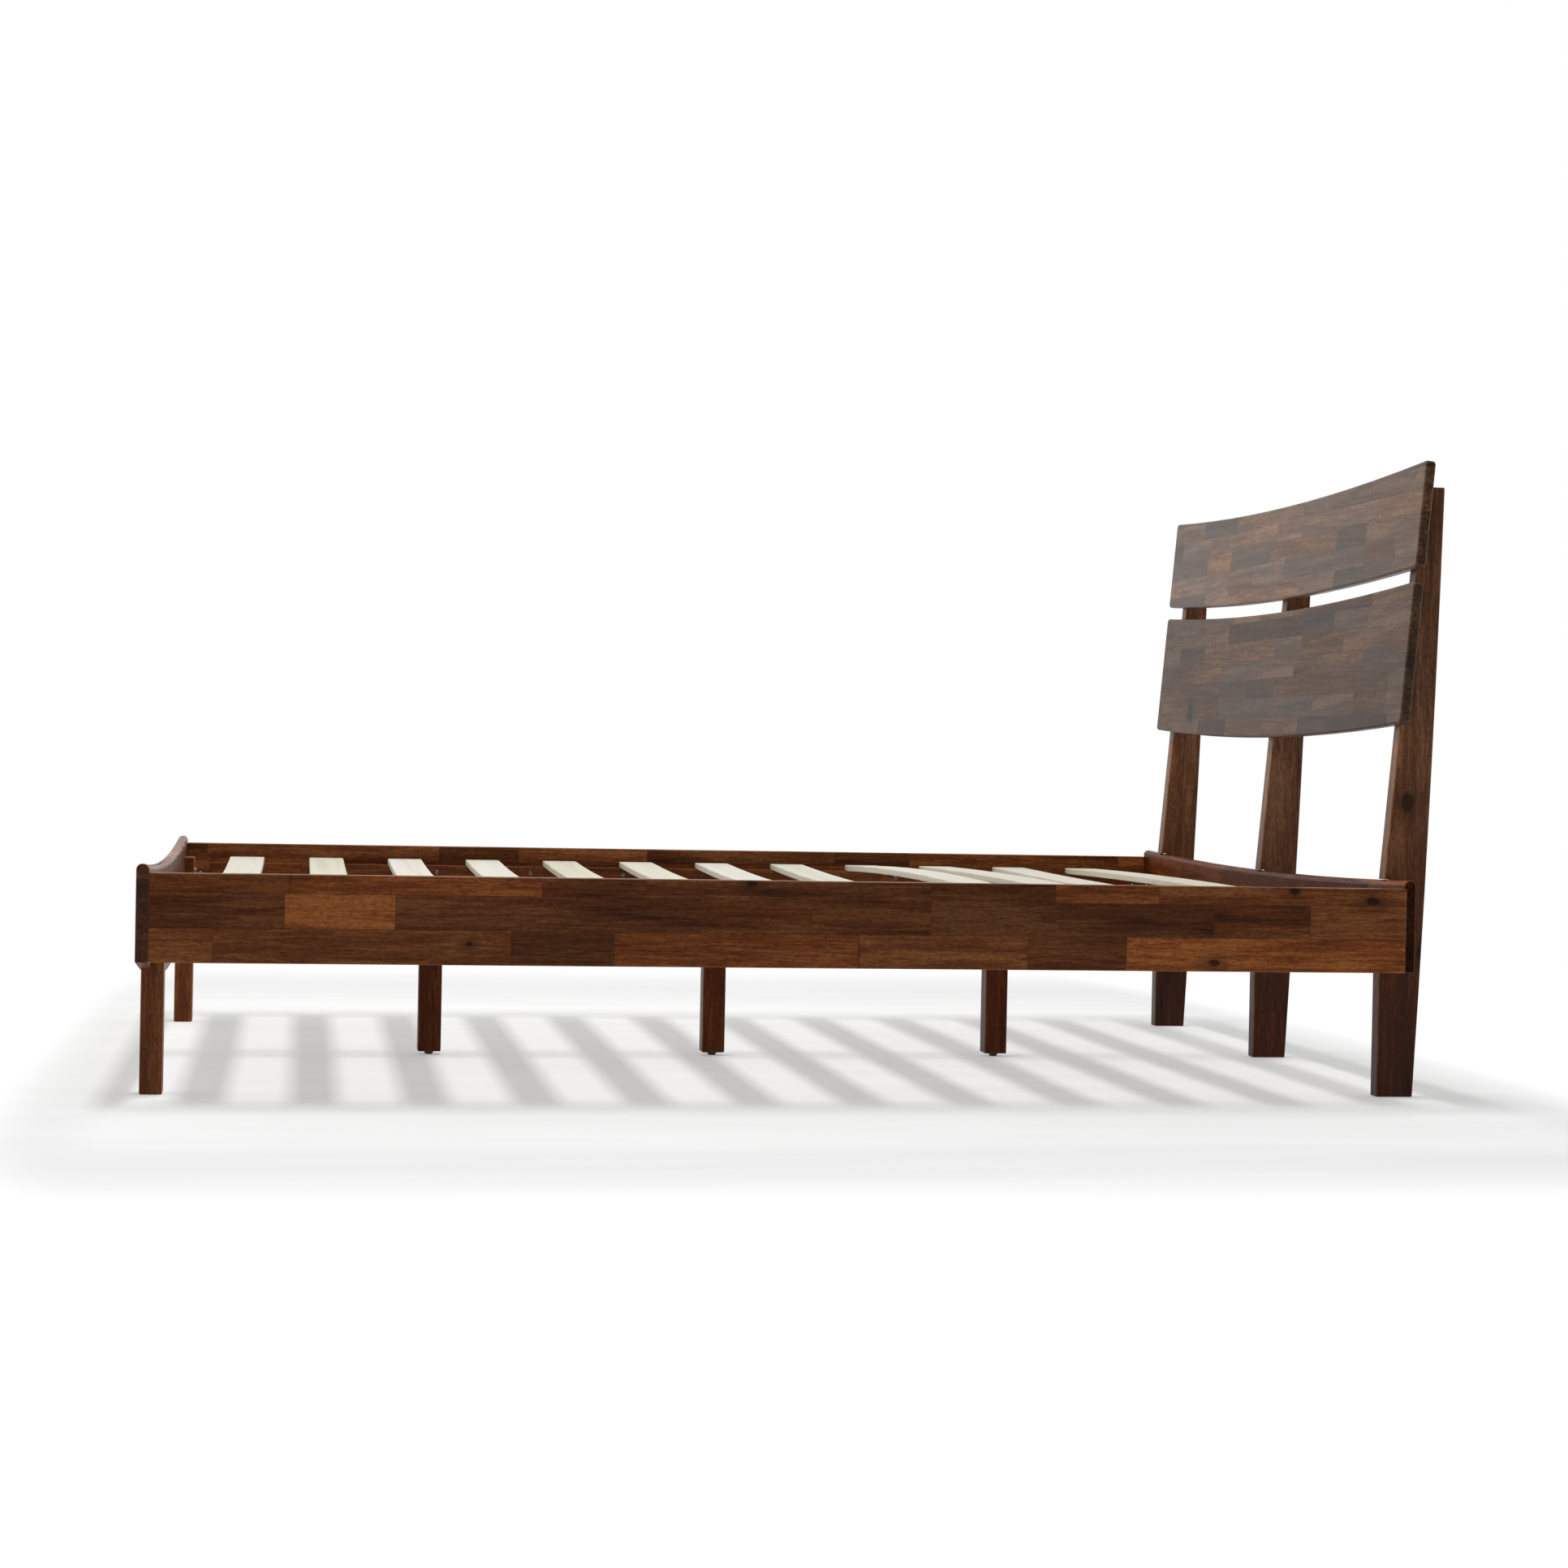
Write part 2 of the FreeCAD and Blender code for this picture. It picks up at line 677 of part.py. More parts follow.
def slat(number):
    """A slat whose ends lie flat on the ledges; it sags to the beam or crowns a little."""
    name = "slat_%02d" % number
    body = new_body(name)
    half = "(Sizes.slat_length / 2)"
    seat = "(Sizes.slat_length / 2 - Sizes.slat_seat)"
    low = "Sizes.ledge_top"
    high = "(Sizes.ledge_top + Sizes.slat_thickness)"
    corners = [
        ("-" + half, low),
        ("-" + seat, low),
        (seat, low),
        (half, low),
        (half, high),
        (seat, high),
        ("-" + seat, high),
        ("-" + half, high),
    ]
    sag = SLAT_BOWS.get(number, "Sizes.slat_sag")
    face = outline(body, name + "_side", "YZ_Plane", corners, {1: sag, 5: "-1 * (%s)" % sag})
    pad(body, face, name + "_width", "Sizes.slat_width", centred=True)
    round_edges(body, name + "_corners", "2 * Sizes.slat_round", runs_along(UP))
    broad_faces = value("Sizes.slat_width") / 2

    def is_long_edge(edge, middle):
        return abs(abs(middle.x) - broad_faces) < CLOSE

    round_edges(body, name + "_rounded", "Sizes.slat_round", is_long_edge)
    along = "%s + Sizes.slat_first + %d * Sizes.slat_pitch" % (FOOT_FACE, number - 1)
    body.setExpression("Placement.Base.x", along)
    return keep(body)


def ledge(label, side):
    """The batten along a side rail that carries the slat ends."""
    blank = bar(
        "ledge_%s_blank" % label,
        ("%d * %s" % (side, RAIL_INNER), "%d * %s" % (side, LEDGE_INNER)),
        ("Sizes.ledge_top - Sizes.ledge_height", "Sizes.ledge_top"),
        "Sizes.rail_length - 2 * Sizes.ledge_gap",
        "Sizes.steel_round",
        FOOT_FACE + " + Sizes.ledge_gap",
    )
    return keep(drilled("ledge_" + label, blank, [ledge_bores[side]]))


# ---------------------------------------------------------------- centre beam and its legs

def centre_beam():
    """The beam under the middle of the slats, between the two hangers."""
    blank = bar(
        "centre_beam_blank",
        ("-Sizes.beam_width / 2", "Sizes.beam_width / 2"),
        (BEAM_BOTTOM, BEAM_TOP),
        "Sizes.rail_length - 2 * Sizes.hanger_plate",
        "Sizes.wood_round",
        FOOT_FACE + " + Sizes.hanger_plate",
    )
    return keep(drilled("centre_beam", blank, [stud_bores]))


def beam_hanger(label, end_face, turn):
    """A folded steel shoe: a flanged back plate with a seat and two cheeks."""
    name = "beam_hanger_" + label
    body = new_body(name + "_blank")
    cheek = "(Sizes.beam_width / 2 + Sizes.hanger_plate)"
    inner = "(Sizes.beam_width / 2)"
    seat = "-Sizes.beam_height"
    floor = "(-Sizes.beam_height - Sizes.hanger_plate)"
    top = "(Sizes.hanger_height - Sizes.beam_height)"
    shoe_corners = [
        ("-" + cheek, floor), (cheek, floor), (cheek, top), (inner, top),
        (inner, seat), ("-" + inner, seat), ("-" + inner, top), ("-" + cheek, top),
    ]
    shoe = outline(body, name + "_shoe", "YZ_Plane", shoe_corners)
    pad(body, shoe, name + "_seat", "Sizes.hanger_reach")
    flange = "(Sizes.hanger_flange / 2)"
    plate_corners = [("-" + flange, floor), (flange, floor), (flange, top), ("-" + flange, top)]
    plate = outline(body, name + "_flange", "YZ_Plane", plate_corners)
    pad(body, plate, name + "_plate", "Sizes.hanger_plate")
    body.Placement.Rotation = Rotation(UP, turn)
    place(body, end_face, "0", BEAM_TOP)
    return keep(drilled(name, body, [hanger_bores]))


def centre_leg(label, along):
    """A square leg under the beam, bored below for its glide and above for its stud."""
    centre = "(%s + Sizes.%s_leg_place)" % (FOOT_FACE, along)
    half = "Sizes.centre_leg_width / 2"
    blank = post_block(
        "centre_leg_%s_blank" % label,
        (centre + " - " + half, centre + " + " + half),
        ("-" + half, half),
        ("Sizes.glide_height", BEAM_BOTTOM),
        "Sizes.wood_round",
    )
    return keep(drilled("centre_leg_" + label, blank, [stud_bores, glide_bores]))


def glide(label, along):
    """A tapered foot on a threaded stem that screws into the bottom of a centre leg."""
    name = "glide_" + label
    body = new_body(name)
    top = "(Sizes.glide_height + Sizes.glide_stem_length)"
    corners = [
        ("0", "0"),
        ("Sizes.glide_bottom_radius", "0"),
        ("Sizes.glide_top_radius", "Sizes.glide_height"),
        ("Sizes.glide_stem_radius", "Sizes.glide_height"),
        ("Sizes.glide_stem_radius", top),
        ("0", top),
    ]
    profile = outline(body, name + "_profile", "XZ_Plane", corners)
    turned = body.newObject("PartDesign::Revolution", name + "_turned")
    turned.Profile = profile
    turned.ReferenceAxis = (profile, ["V_Axis"])
    turned.Angle = 360
    body.setExpression("Placement.Base.x", "%s + Sizes.%s_leg_place" % (FOOT_FACE, along))
    return keep(body)


# ---------------------------------------------------------------- corner brackets

def corner_bracket(label, end_face, side, turn):
    """A steel angle in one corner, bolted to the side rail and the cross board."""
    name = "corner_bracket_" + label
    body = new_body(name + "_blank")
    reach = "Sizes.bracket_reach"
    plate = "Sizes.bracket_plate"
    corners = [("0", "0"), (reach, "0"), (reach, plate), (plate, plate), (plate, reach), ("0", reach)]
    angle = outline(body, name + "_angle", "XY_Plane", corners)
    pad(body, angle, name + "_height", "Sizes.bracket_height")
    round_edges(body, name + "_rounded", "Sizes.steel_round", runs_along(UP))
    body.Placement.Rotation = Rotation(UP, turn)
    place(body, end_face, "%d * %s" % (side, RAIL_INNER), "Sizes.bracket_bottom")
    return keep(drilled(name, body, [corner_bores]))


for side_label, side_sign in SIDES:
    side_rail(side_label, side_sign)
    ledge(side_label, side_sign)
footboard()
head_rail()
foot_cutter = arch_cutter()
for side_label, side_sign in SIDES:
    foot_leg(side_label, side_sign, foot_cutter)
for side_label, side_sign in SIDES + (("middle", 0),):
    head_post(side_label, side_sign)
for plank_level in ("lower", "upper"):
    headboard_plank(plank_level)
for slat_number in range(1, SLAT_COUNT + 1):
    slat(slat_number)
centre_beam()
beam_hanger("foot", FOOT_FACE, 0)
beam_hanger("head", HEAD_FACE, 180)
for leg_label, leg_order in (("foot", "first"), ("middle", "middle"), ("head", "last")):
    centre_leg(leg_label, leg_order)
    glide(leg_label, leg_order)
corner_bracket("foot_left", FOOT_FACE, -1, 0)
corner_bracket("foot_right", FOOT_FACE, 1, -90)
corner_bracket("head_left", HEAD_FACE, -1, 90)
corner_bracket("head_right", HEAD_FACE, 1, 180)
doc.recompute()

broken = [item.Label for item in doc.Objects if "Invalid" in item.State or "Error" in item.State]
if broken:
    raise RuntimeError("these did not recompute: " + ", ".join(broken))
for piece in pieces:
    if piece.Shape.isNull() or not piece.Shape.isValid() or not piece.Shape.Solids:
        raise RuntimeError("%s has no valid solid" % piece.Label)
for piece in pieces:
    piece.Shape.exportStep("parts/%s.step" % piece.Label)
    box = piece.Shape.BoundBox
    print("%-24s %2d solids %11.0f mm3  x %8.1f %8.1f  y %7.1f %7.1f  z %7.1f %7.1f" % (
        piece.Label, len(piece.Shape.Solids), piece.Shape.Volume,
        box.XMin, box.XMax, box.YMin, box.YMax, box.ZMin, box.ZMax))
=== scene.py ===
"""Looks of a low platform bed with an arched footboard and a raked headboard of two dipped planks.

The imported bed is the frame: its boards, posts, slats and brackets keep their shapes and get
their finishes here, and its screws, bolts, studs and glides are made again with their threads,
drive recesses and grips. Everything is in metres, in the bed's own frame: +X runs to the
headboard, +Y to the sleeper's right, +Z up from the floor.
"""

import logging
import math
from collections.abc import Callable
from dataclasses import dataclass
from enum import Enum

import bmesh
import bpy
import numpy as np
from mathutils import Matrix, Vector


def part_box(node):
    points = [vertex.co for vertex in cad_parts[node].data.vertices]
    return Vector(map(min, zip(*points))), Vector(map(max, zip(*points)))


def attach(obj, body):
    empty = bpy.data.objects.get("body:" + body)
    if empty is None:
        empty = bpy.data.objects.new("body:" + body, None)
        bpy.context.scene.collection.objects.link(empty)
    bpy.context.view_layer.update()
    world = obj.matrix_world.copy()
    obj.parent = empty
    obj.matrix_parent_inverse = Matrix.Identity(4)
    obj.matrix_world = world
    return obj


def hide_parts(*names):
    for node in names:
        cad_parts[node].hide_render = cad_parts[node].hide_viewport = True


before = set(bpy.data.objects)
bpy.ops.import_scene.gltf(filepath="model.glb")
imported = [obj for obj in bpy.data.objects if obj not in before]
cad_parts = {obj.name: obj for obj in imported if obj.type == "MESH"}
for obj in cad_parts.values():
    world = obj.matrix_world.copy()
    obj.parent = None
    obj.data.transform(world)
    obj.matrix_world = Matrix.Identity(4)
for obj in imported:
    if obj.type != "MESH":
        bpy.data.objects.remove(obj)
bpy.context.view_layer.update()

LOG = logging.getLogger("bed")
BED_BODY = "bed_frame"

Colour = tuple[float, float, float]
Socket = bpy.types.NodeSocket
Feed = Socket | float | int | tuple[float, ...]
Place = tuple[Socket, Socket, Socket]
Knot = tuple[float, float, float]


class Axis(Enum):
    """An axis of the bed's frame, and its place in a vector."""

    X = 0
    Y = 1
    Z = 2


class Side(Enum):
    """A side of the bed, seen by the sleeper."""

    LEFT = "left"
    RIGHT = "right"


class Drive(Enum):
    """The recess in the head of a screw or bolt."""

    HEX = "hex"
    CROSS = "cross"


# ------------------------------------------------------------------ writing materials


class Recipe:
    """Writes the nodes of one material, one named step at a time."""

    def __init__(self, name: str) -> None:
        """Start an empty material round its principled shader.

        Args:
            name: The material's name.
        """
        self.material = bpy.data.materials.new(name)
        self.material.use_nodes = True
        self.nodes = self.material.node_tree.nodes
        self.links = self.material.node_tree.links
        self.shader = self.nodes["Principled BSDF"]

    def add(
        self, kind: str, inputs: dict[str | int, Feed], output: str | int = 0, **settings: object
    ) -> Socket:
        """Add a node and feed its inputs.

        Args:
            kind: The node's type without its "ShaderNode" prefix.
            inputs: What each input, by name or place, takes: a socket or a constant.
            output: The output wanted, by name or place.
            settings: Properties set on the node before it is fed.

        Returns:
            The wanted output socket.
        """
        node = self.nodes.new("ShaderNode" + kind)
        for name, setting in settings.items():
            setattr(node, name, setting)
        for key, fed in inputs.items():
            self.feed(node.inputs[key], fed)
        return node.outputs[output]

    def feed(self, socket: Socket, fed: Feed) -> None:
        """Link a socket to an input, or set a constant on it.

        Args:
            socket: The input.
            fed: What it takes.
        """
        if isinstance(fed, Socket):
            self.links.new(fed, socket)
        else:
            socket.default_value = fed

    def math(self, operation: str, first: Feed, second: Feed = 0.0, third: Feed = 0.0) -> Socket:
        """One step of arithmetic, named as Blender names it."""
        return self.add("Math", {0: first, 1: second, 2: third}, operation=operation)

    def vector(self, x: Feed, y: Feed, z: Feed) -> Socket:
        """A vector from three parts."""
        return self.add("CombineXYZ", {0: x, 1: y, 2: z})

    def stretched(self, parts: Place, factors: tuple[float, float, float]) -> Socket:
        """A place with each of its parts multiplied by its own factor."""
        return self.vector(*(self.math("MULTIPLY", part, factor) for part, factor in zip(parts, factors)))

    def shaded(self, colour: Feed, red: Feed, green: Feed, blue: Feed) -> Socket:
        """A colour with each of its three parts multiplied."""
        return self.blend(1.0, colour, self.vector(red, green, blue), "MULTIPLY")

    def split(self, source: Socket) -> list[Socket]:
        """Take a vector apart.

        Args:
            source: The vector.

        Returns:
            Its three parts.
        """
        node = self.nodes.new("ShaderNodeSeparateXYZ")
        self.links.new(source, node.inputs[0])
        return list(node.outputs)

    def ramp(self, value: Feed, low: float, high: float, start: float = 0.0, end: float = 1.0) -> Socket:
        """Ease a value from start to end while it runs from low to high."""
        inputs = {"Value": value, "From Min": low, "From Max": high, "To Min": start, "To Max": end}
        return self.add("MapRange", inputs, interpolation_type="SMOOTHSTEP")

    def noise(
        self, where: Socket, scale: float, detail: float, distortion: float = 0.0, rough: float = 0.5
    ) -> Socket:
        """Smooth noise from 0 to 1 at a place."""
        inputs = {"Vector": where, "Scale": scale, "Detail": detail, "Roughness": rough}
        return self.add("TexNoise", inputs | {"Distortion": distortion})

    def blend(self, amount: Feed, first: Feed, second: Feed, how: str = "MIX") -> Socket:
        """Blend two colours."""
        inputs = {0: amount, 6: opaque(first), 7: opaque(second)}
        return self.add("Mix", inputs, output=2, data_type="RGBA", blend_type=how)

    def place(self) -> Socket:
        """Where a point lies in the bed's frame, in metres."""
        return self.add("TexCoord", {}, output="Object")

    def facing(self) -> list[Socket]:
        """How far the surface faces along each axis, from 0 to 1."""
        parts = self.split(self.add("TexCoord", {}, output="Normal"))
        return [self.math("ABSOLUTE", part) for part in parts]

    def relief(self, height: Socket, depth: float, strength: float) -> None:
        """Give the surface a fine relief, depth metres high."""
        normal = self.add("Bump", {"Height": height, "Distance": depth, "Strength": strength})
        self.links.new(normal, self.shader.inputs["Normal"])

    def set(self, **inputs: Feed) -> None:
        """Feed the shader's own inputs.

        Args:
            inputs: What each takes; an underscore in a name stands for a space.
        """
        for name, fed in inputs.items():
            value = opaque(fed) if name == "Base_Color" else fed
            self.feed(self.shader.inputs[name.replace("_", " ")], value)


def opaque(colour: Feed) -> Feed:
    """Add its alpha to a three-part colour.

    Args:
        colour: A colour, a socket or a number.

    Returns:
        The colour with its alpha, or what was given, as it is.
    """
    if isinstance(colour, tuple) and len(colour) == 3:
        return (*colour, 1.0)
    return colour


# ------------------------------------------------------------------ finishes


@dataclass(frozen=True)
class StainedWood:
    """Stained, satin-lacquered hardwood, edge-glued from short staves."""

    name: str
    along: Axis
    across: Axis
    seed: float
    stave_height: float = 0.0565
    stave_length: float = 0.29
    first_row: float = 0.218
    dark: Colour = (0.040, 0.0098, 0.0026)
    middle: Colour = (0.126, 0.0345, 0.0080)
    light: Colour = (0.225, 0.078, 0.022)
    tone_spread: float = 0.36
    figure_scale: float = 17.0
    knots: float = 0.03
    knots_at: tuple[Knot, ...] = ()
    # Overall darkening (deeper stain, and painted shade on some parts), and painted shade towards the floor
    stain_and_shade_depth: float = 1.0
    painted_foot_shade: float = 1.0
    sawn_shade: tuple[float, float] = (0.42, 0.85)
    lacquer_ior: float = 1.2
    # Strength of the painted highlight on rounded edges
    edge_wear_and_highlight: float = 0.5
    stipple: float = 0.26
    gloss: float = 0.30
    glue_width: float = 0.0005
    row_shift: float = 5.0
    wander: float = 0.36
    wander_rate: float = 2.3
    wander_start: float = 40.0
    pore_stain: float = 0.50
    glue_stain: float = 0.45
    halo_stain: float = 0.45
    heart_stain: float = 0.85
    relief_depth: float = 0.00035
    relief_strength: float = 0.35
    fibre_rough: float = 0.16
    hue_rough: float = 0.06

    def material(self) -> bpy.types.Material:
        """Mix the finish.

        Returns:
            The material.
        """
        recipe = Recipe(self.name)
        parts = recipe.split(recipe.place())
        through = next(axis for axis in Axis if axis not in (self.along, self.across))
        place = (parts[self.along.value], parts[self.across.value], parts[through.value])
        facing = recipe.facing()
        row_place, stave_place, chances = self.lay_staves(recipe, place)
        tone_chance, hue_chance, shift_chance = chances

        figure = self.figure(recipe, place, shift_chance, tone_chance)
        fibre = self.fibre(recipe, place, shift_chance)
        pores = self.pores(recipe, place)
        colour = self.stave_colour(recipe, figure, fibre, tone_chance, hue_chance)
        colour = recipe.blend(recipe.math("MULTIPLY", pores, self.pore_stain), colour, self.dark)
        stipple = self.stippling(recipe, place)
        colour = recipe.shaded(colour, stipple, stipple, stipple)

        seam = self.seam(recipe, row_place, stave_place)
        colour = recipe.blend(recipe.math("MULTIPLY", seam, self.glue_stain), colour, self.dark)
        colour, knot = self.knot(recipe, colour, place)
        colour = self.stain_and_shade_strength(recipe, colour, parts[Axis.Z.value])
        colour = self.end_grain(recipe, colour, facing[self.along.value], place)
        colour = self.worn_and_highlit_edges(recipe, colour, facing, place)

        height = recipe.math("SUBTRACT", recipe.math("MULTIPLY", fibre, 0.5), pores)
        height = recipe.math("SUBTRACT", height, recipe.math("MULTIPLY", seam, 0.8))
        height = recipe.math("SUBTRACT", height, recipe.math("MULTIPLY", knot, 0.6))
        recipe.relief(height, self.relief_depth, self.relief_strength)
        rough = recipe.math("MULTIPLY_ADD", fibre, self.fibre_rough, self.gloss)
        rough = recipe.math("MULTIPLY_ADD", hue_chance, self.hue_rough, rough)
        recipe.set(Base_Color=colour, Roughness=rough, IOR=self.lacquer_ior)
        return recipe.material

    def lay_staves(self, recipe: Recipe, place: Place) -> tuple[Socket, Socket, list[Socket]]:
        """Lay the rows of staves, with joints that wander from row to row.

        Args:
            recipe: The material being written.
            place: The point along, across and through the board.

        Returns:
            The place counted in rows, the place counted in staves, and a stave's three chances.
        """
        run, rise, _ = place
        row_place = recipe.math("DIVIDE", recipe.math("SUBTRACT", rise, self.first_row), self.stave_height)
        row = recipe.math("FLOOR", row_place)
        row_seed = recipe.math("ADD", row, self.seed)
        row_chance = recipe.add("TexWhiteNoise", {"W": row_seed}, noise_dimensions="1D")
        even_place = recipe.math("DIVIDE", run, self.stave_length)
        shifted = recipe.math("MULTIPLY_ADD", row_chance, self.row_shift, even_place)
        wave_start = recipe.math("MULTIPLY", row_chance, self.wander_start)
        wave = recipe.math("SINE", recipe.math("MULTIPLY_ADD", shifted, self.wander_rate, wave_start))
        stave_place = recipe.math("MULTIPLY_ADD", wave, self.wander, shifted)
        stave = recipe.math("FLOOR", stave_place)
        stave_seed = recipe.vector(row, stave, self.seed)
        chances = recipe.add("TexWhiteNoise", {"Vector": stave_seed}, output="Color", noise_dimensions="3D")
        return row_place, stave_place, recipe.split(chances)

    def stain_and_shade_strength(self, recipe: Recipe, colour: Socket, height: Socket) -> Socket:
        """Darken the colour as a whole (deeper stain, and painted shade on shaded parts), and add painted
        shade towards the floor on standing parts.

        Args:
            recipe: The material being written.
            colour: The wood's colour so far.
            height: The height over the floor.

        Returns:
            The darker colour.
        """
        # Overall darkening is deeper stain on some parts and painted shade on others; the ramp below paints
        # shade towards the floor
        bare = 1.0 / self.stain_and_shade_depth
        shade = recipe.ramp(height, 0.10, 0.62, bare / self.painted_foot_shade, bare)
        green = recipe.math("POWER", shade, 1.45)
        blue = recipe.math("POWER", shade, 2.1)
        return recipe.shaded(colour, shade, green, blue)

    def figure(self, recipe: Recipe, place: Place, shift: Socket, turn: Socket) -> Socket:
        """Draw the broad growth figure: long flames that break at every glue line.

        Args:
            recipe: The material being written.
            place: The point along, across and through the board.
            shift: The stave's chance that shifts its figure.
            turn: The stave's chance that changes its figure's rise.

        Returns:
            The figure, from 0 to 1.
        """
        run, rise, depth = place
        where = recipe.vector(
            recipe.math("MULTIPLY_ADD", run, 1.3, recipe.math("MULTIPLY", shift, 41.0)),
            recipe.math("MULTIPLY_ADD", rise, self.figure_scale, recipe.math("MULTIPLY", turn, 23.0)),
            recipe.math("MULTIPLY_ADD", depth, self.figure_scale, recipe.math("MULTIPLY", shift, 17.0)),
        )
        broad = recipe.noise(where, 1.0, 3.0, 1.3, 0.55)
        lines = recipe.noise(where, 6.5, 4.0, 0.9, 0.65)
        return recipe.math("MULTIPLY_ADD", lines, 0.50, recipe.math("MULTIPLY", broad, 0.54))

    def fibre(self, recipe: Recipe, place: Place, shift: Socket) -> Socket:
        """Draw the fine fibres along the grain.

        Args:
            recipe: The material being written.
            place: The point along, across and through the board.
            shift: The stave's chance that shifts its fibres.

        Returns:
            The fibres, from 0 to 1.
        """
        run, rise, depth = place
        where = recipe.vector(
            recipe.math("MULTIPLY_ADD", run, 16.0, recipe.math("MULTIPLY", shift, 91.0)),
            recipe.math("MULTIPLY", rise, 330.0),
            recipe.math("MULTIPLY", depth, 330.0),
        )
        return recipe.noise(where, 1.0, 4.0, 0.2, 0.65)

    def pores(self, recipe: Recipe, place: Place) -> Socket:
        """Short dark open pores, 1 in a pore."""
        where = recipe.stretched(place, (120.0, 620.0, 620.0))
        return recipe.ramp(recipe.noise(where, 1.0, 2.0), 0.54, 0.70)

    def stippling(self, recipe: Recipe, place: Place) -> Socket:
        """Draw the short light and dark flecks that the open grain shows through the stain.

        Args:
            recipe: The material being written.
            place: The point along, across and through the board.

        Returns:
            What the flecks multiply the colour by.
        """
        where = recipe.stretched(place, (85.0, 270.0, 270.0))
        flecks = recipe.noise(where, 1.0, 4.0, 0.6, 0.7)
        return recipe.ramp(flecks, 0.34, 0.66, 1.0 - self.stipple, 1.0 + self.stipple)

    def stave_colour(
        self, recipe: Recipe, figure: Socket, fibre: Socket, tone: Socket, hue: Socket
    ) -> Socket:
        """Colour one stave: its figure, its own tone and a lean to red or grey.

        Args:
            recipe: The material being written.
            figure: The broad figure.
            fibre: The fine fibres.
            tone: The stave's chance of being light.
            hue: The stave's chance of being red.

        Returns:
            The stave's colour.
        """
        shade = recipe.math("MULTIPLY_ADD", fibre, 0.30, recipe.math("SUBTRACT", figure, 0.07))
        lower = recipe.blend(recipe.ramp(shade, 0.40, 0.56), self.dark, self.middle)
        colour = recipe.blend(recipe.ramp(shade, 0.55, 0.72), lower, self.light)
        dimming = recipe.ramp(tone, 0.0, 1.0, 1.0 - self.tone_spread, 1.0 + self.tone_spread)
        colour = recipe.shaded(colour, dimming, dimming, dimming)
        red = recipe.ramp(hue, 0.0, 1.0, 0.93, 1.08)
        blue = recipe.ramp(hue, 0.0, 1.0, 1.18, 0.86)
        return recipe.shaded(colour, red, 1.0, blue)

    def seam(self, recipe: Recipe, row_place: Socket, stave_place: Socket) -> Socket:
        """Draw the glue lines between staves.

        Args:
            recipe: The material being written.
            row_place: The place counted in rows.
            stave_place: The place counted in staves.

        Returns:
            1 on a glue line and 0 off it.
        """
        gaps = []
        for where, size in ((row_place, self.stave_height), (stave_place, self.stave_length)):
            part = recipe.math("FRACT", where)
            nearest = recipe.math("MINIMUM", part, recipe.math("SUBTRACT", 1.0, part))
            gaps.append(recipe.math("MULTIPLY", nearest, size))
        gap = recipe.math("MINIMUM", *gaps)
        return recipe.ramp(gap, self.glue_width * 0.4, self.glue_width * 1.6, 1.0, 0.0)

    def knot(self, recipe: Recipe, colour: Socket, place: Place) -> tuple[Socket, Socket]:
        """Scatter a few small dark knots, and set those with a place of their own.

        Args:
            recipe: The material being written.
            colour: The wood's colour so far.
            place: The point along, across and through the board.

        Returns:
            The colour with its knots, and where the knots are.
        """
        run, rise, depth = place
        where = recipe.vector(
            recipe.math("MULTIPLY_ADD", run, 4.2, self.seed * 7.3),
            recipe.math("MULTIPLY", rise, 11.0),
            recipe.math("MULTIPLY", depth, 2.0),
        )
        warp = recipe.math("MULTIPLY_ADD", recipe.noise(where, 4.0, 2.0), 0.12, -0.06)
        inputs = {"Vector": where, "Scale": 1.0, "Randomness": 0.9}
        distance = recipe.math("ADD", recipe.add("TexVoronoi", inputs), warp)
        cell = recipe.split(recipe.add("TexVoronoi", inputs, output="Color"))[0]
        chosen = recipe.math("LESS_THAN", cell, self.knots)
        heart = recipe.math("MULTIPLY", recipe.ramp(distance, 0.03, 0.12, 1.0, 0.0), chosen)
        halo = recipe.math("MULTIPLY", recipe.ramp(distance, 0.08, 0.32, 1.0, 0.0), chosen)
        for along, across, size in self.knots_at:
            aside = recipe.math("MULTIPLY", recipe.math("SUBTRACT", run, along), 0.62)
            above = recipe.math("SUBTRACT", rise, across)
            offset = recipe.vector(aside, above, 0.0)
            reach = recipe.add("VectorMath", {0: offset}, output="Value", operation="LENGTH")
            reach = recipe.math("ADD", reach, recipe.math("MULTIPLY", warp, size * 4.0))
            heart = recipe.math("MAXIMUM", heart, recipe.ramp(reach, size * 0.45, size, 1.0, 0.0))
            halo = recipe.math("MAXIMUM", halo, recipe.ramp(reach, size * 0.8, size * 3.2, 1.0, 0.0))
        colour = recipe.blend(recipe.math("MULTIPLY", halo, self.halo_stain), colour, self.dark)
        black = tuple(0.35 * part for part in self.dark)
        return recipe.blend(recipe.math("MULTIPLY", heart, self.heart_stain), colour, black), heart

    def end_grain(self, recipe: Recipe, colour: Socket, facing: Socket, place: Place) -> Socket:
        """Shade the sawn ends and draw their rings.

        Args:
            recipe: The material being written.
            colour: The wood's colour so far.
            facing: How far the surface faces along the grain.
            place: The point along, across and through the board.

        Returns:
            The colour with its sawn ends.
        """
        _, rise, depth = place
        across_rings = recipe.math("MULTIPLY", rise, 130.0)
        through_rings = recipe.math("MULTIPLY", depth, 420.0)
        rings_at = recipe.vector(across_rings, through_rings, self.seed)
        rings = recipe.ramp(recipe.noise(rings_at, 1.0, 3.0, 0.6), 0.35, 0.65, *self.sawn_shade)
        sawn = recipe.shaded(colour, rings, rings, rings)
        return recipe.blend(recipe.ramp(facing, 0.55, 0.90), colour, sawn)

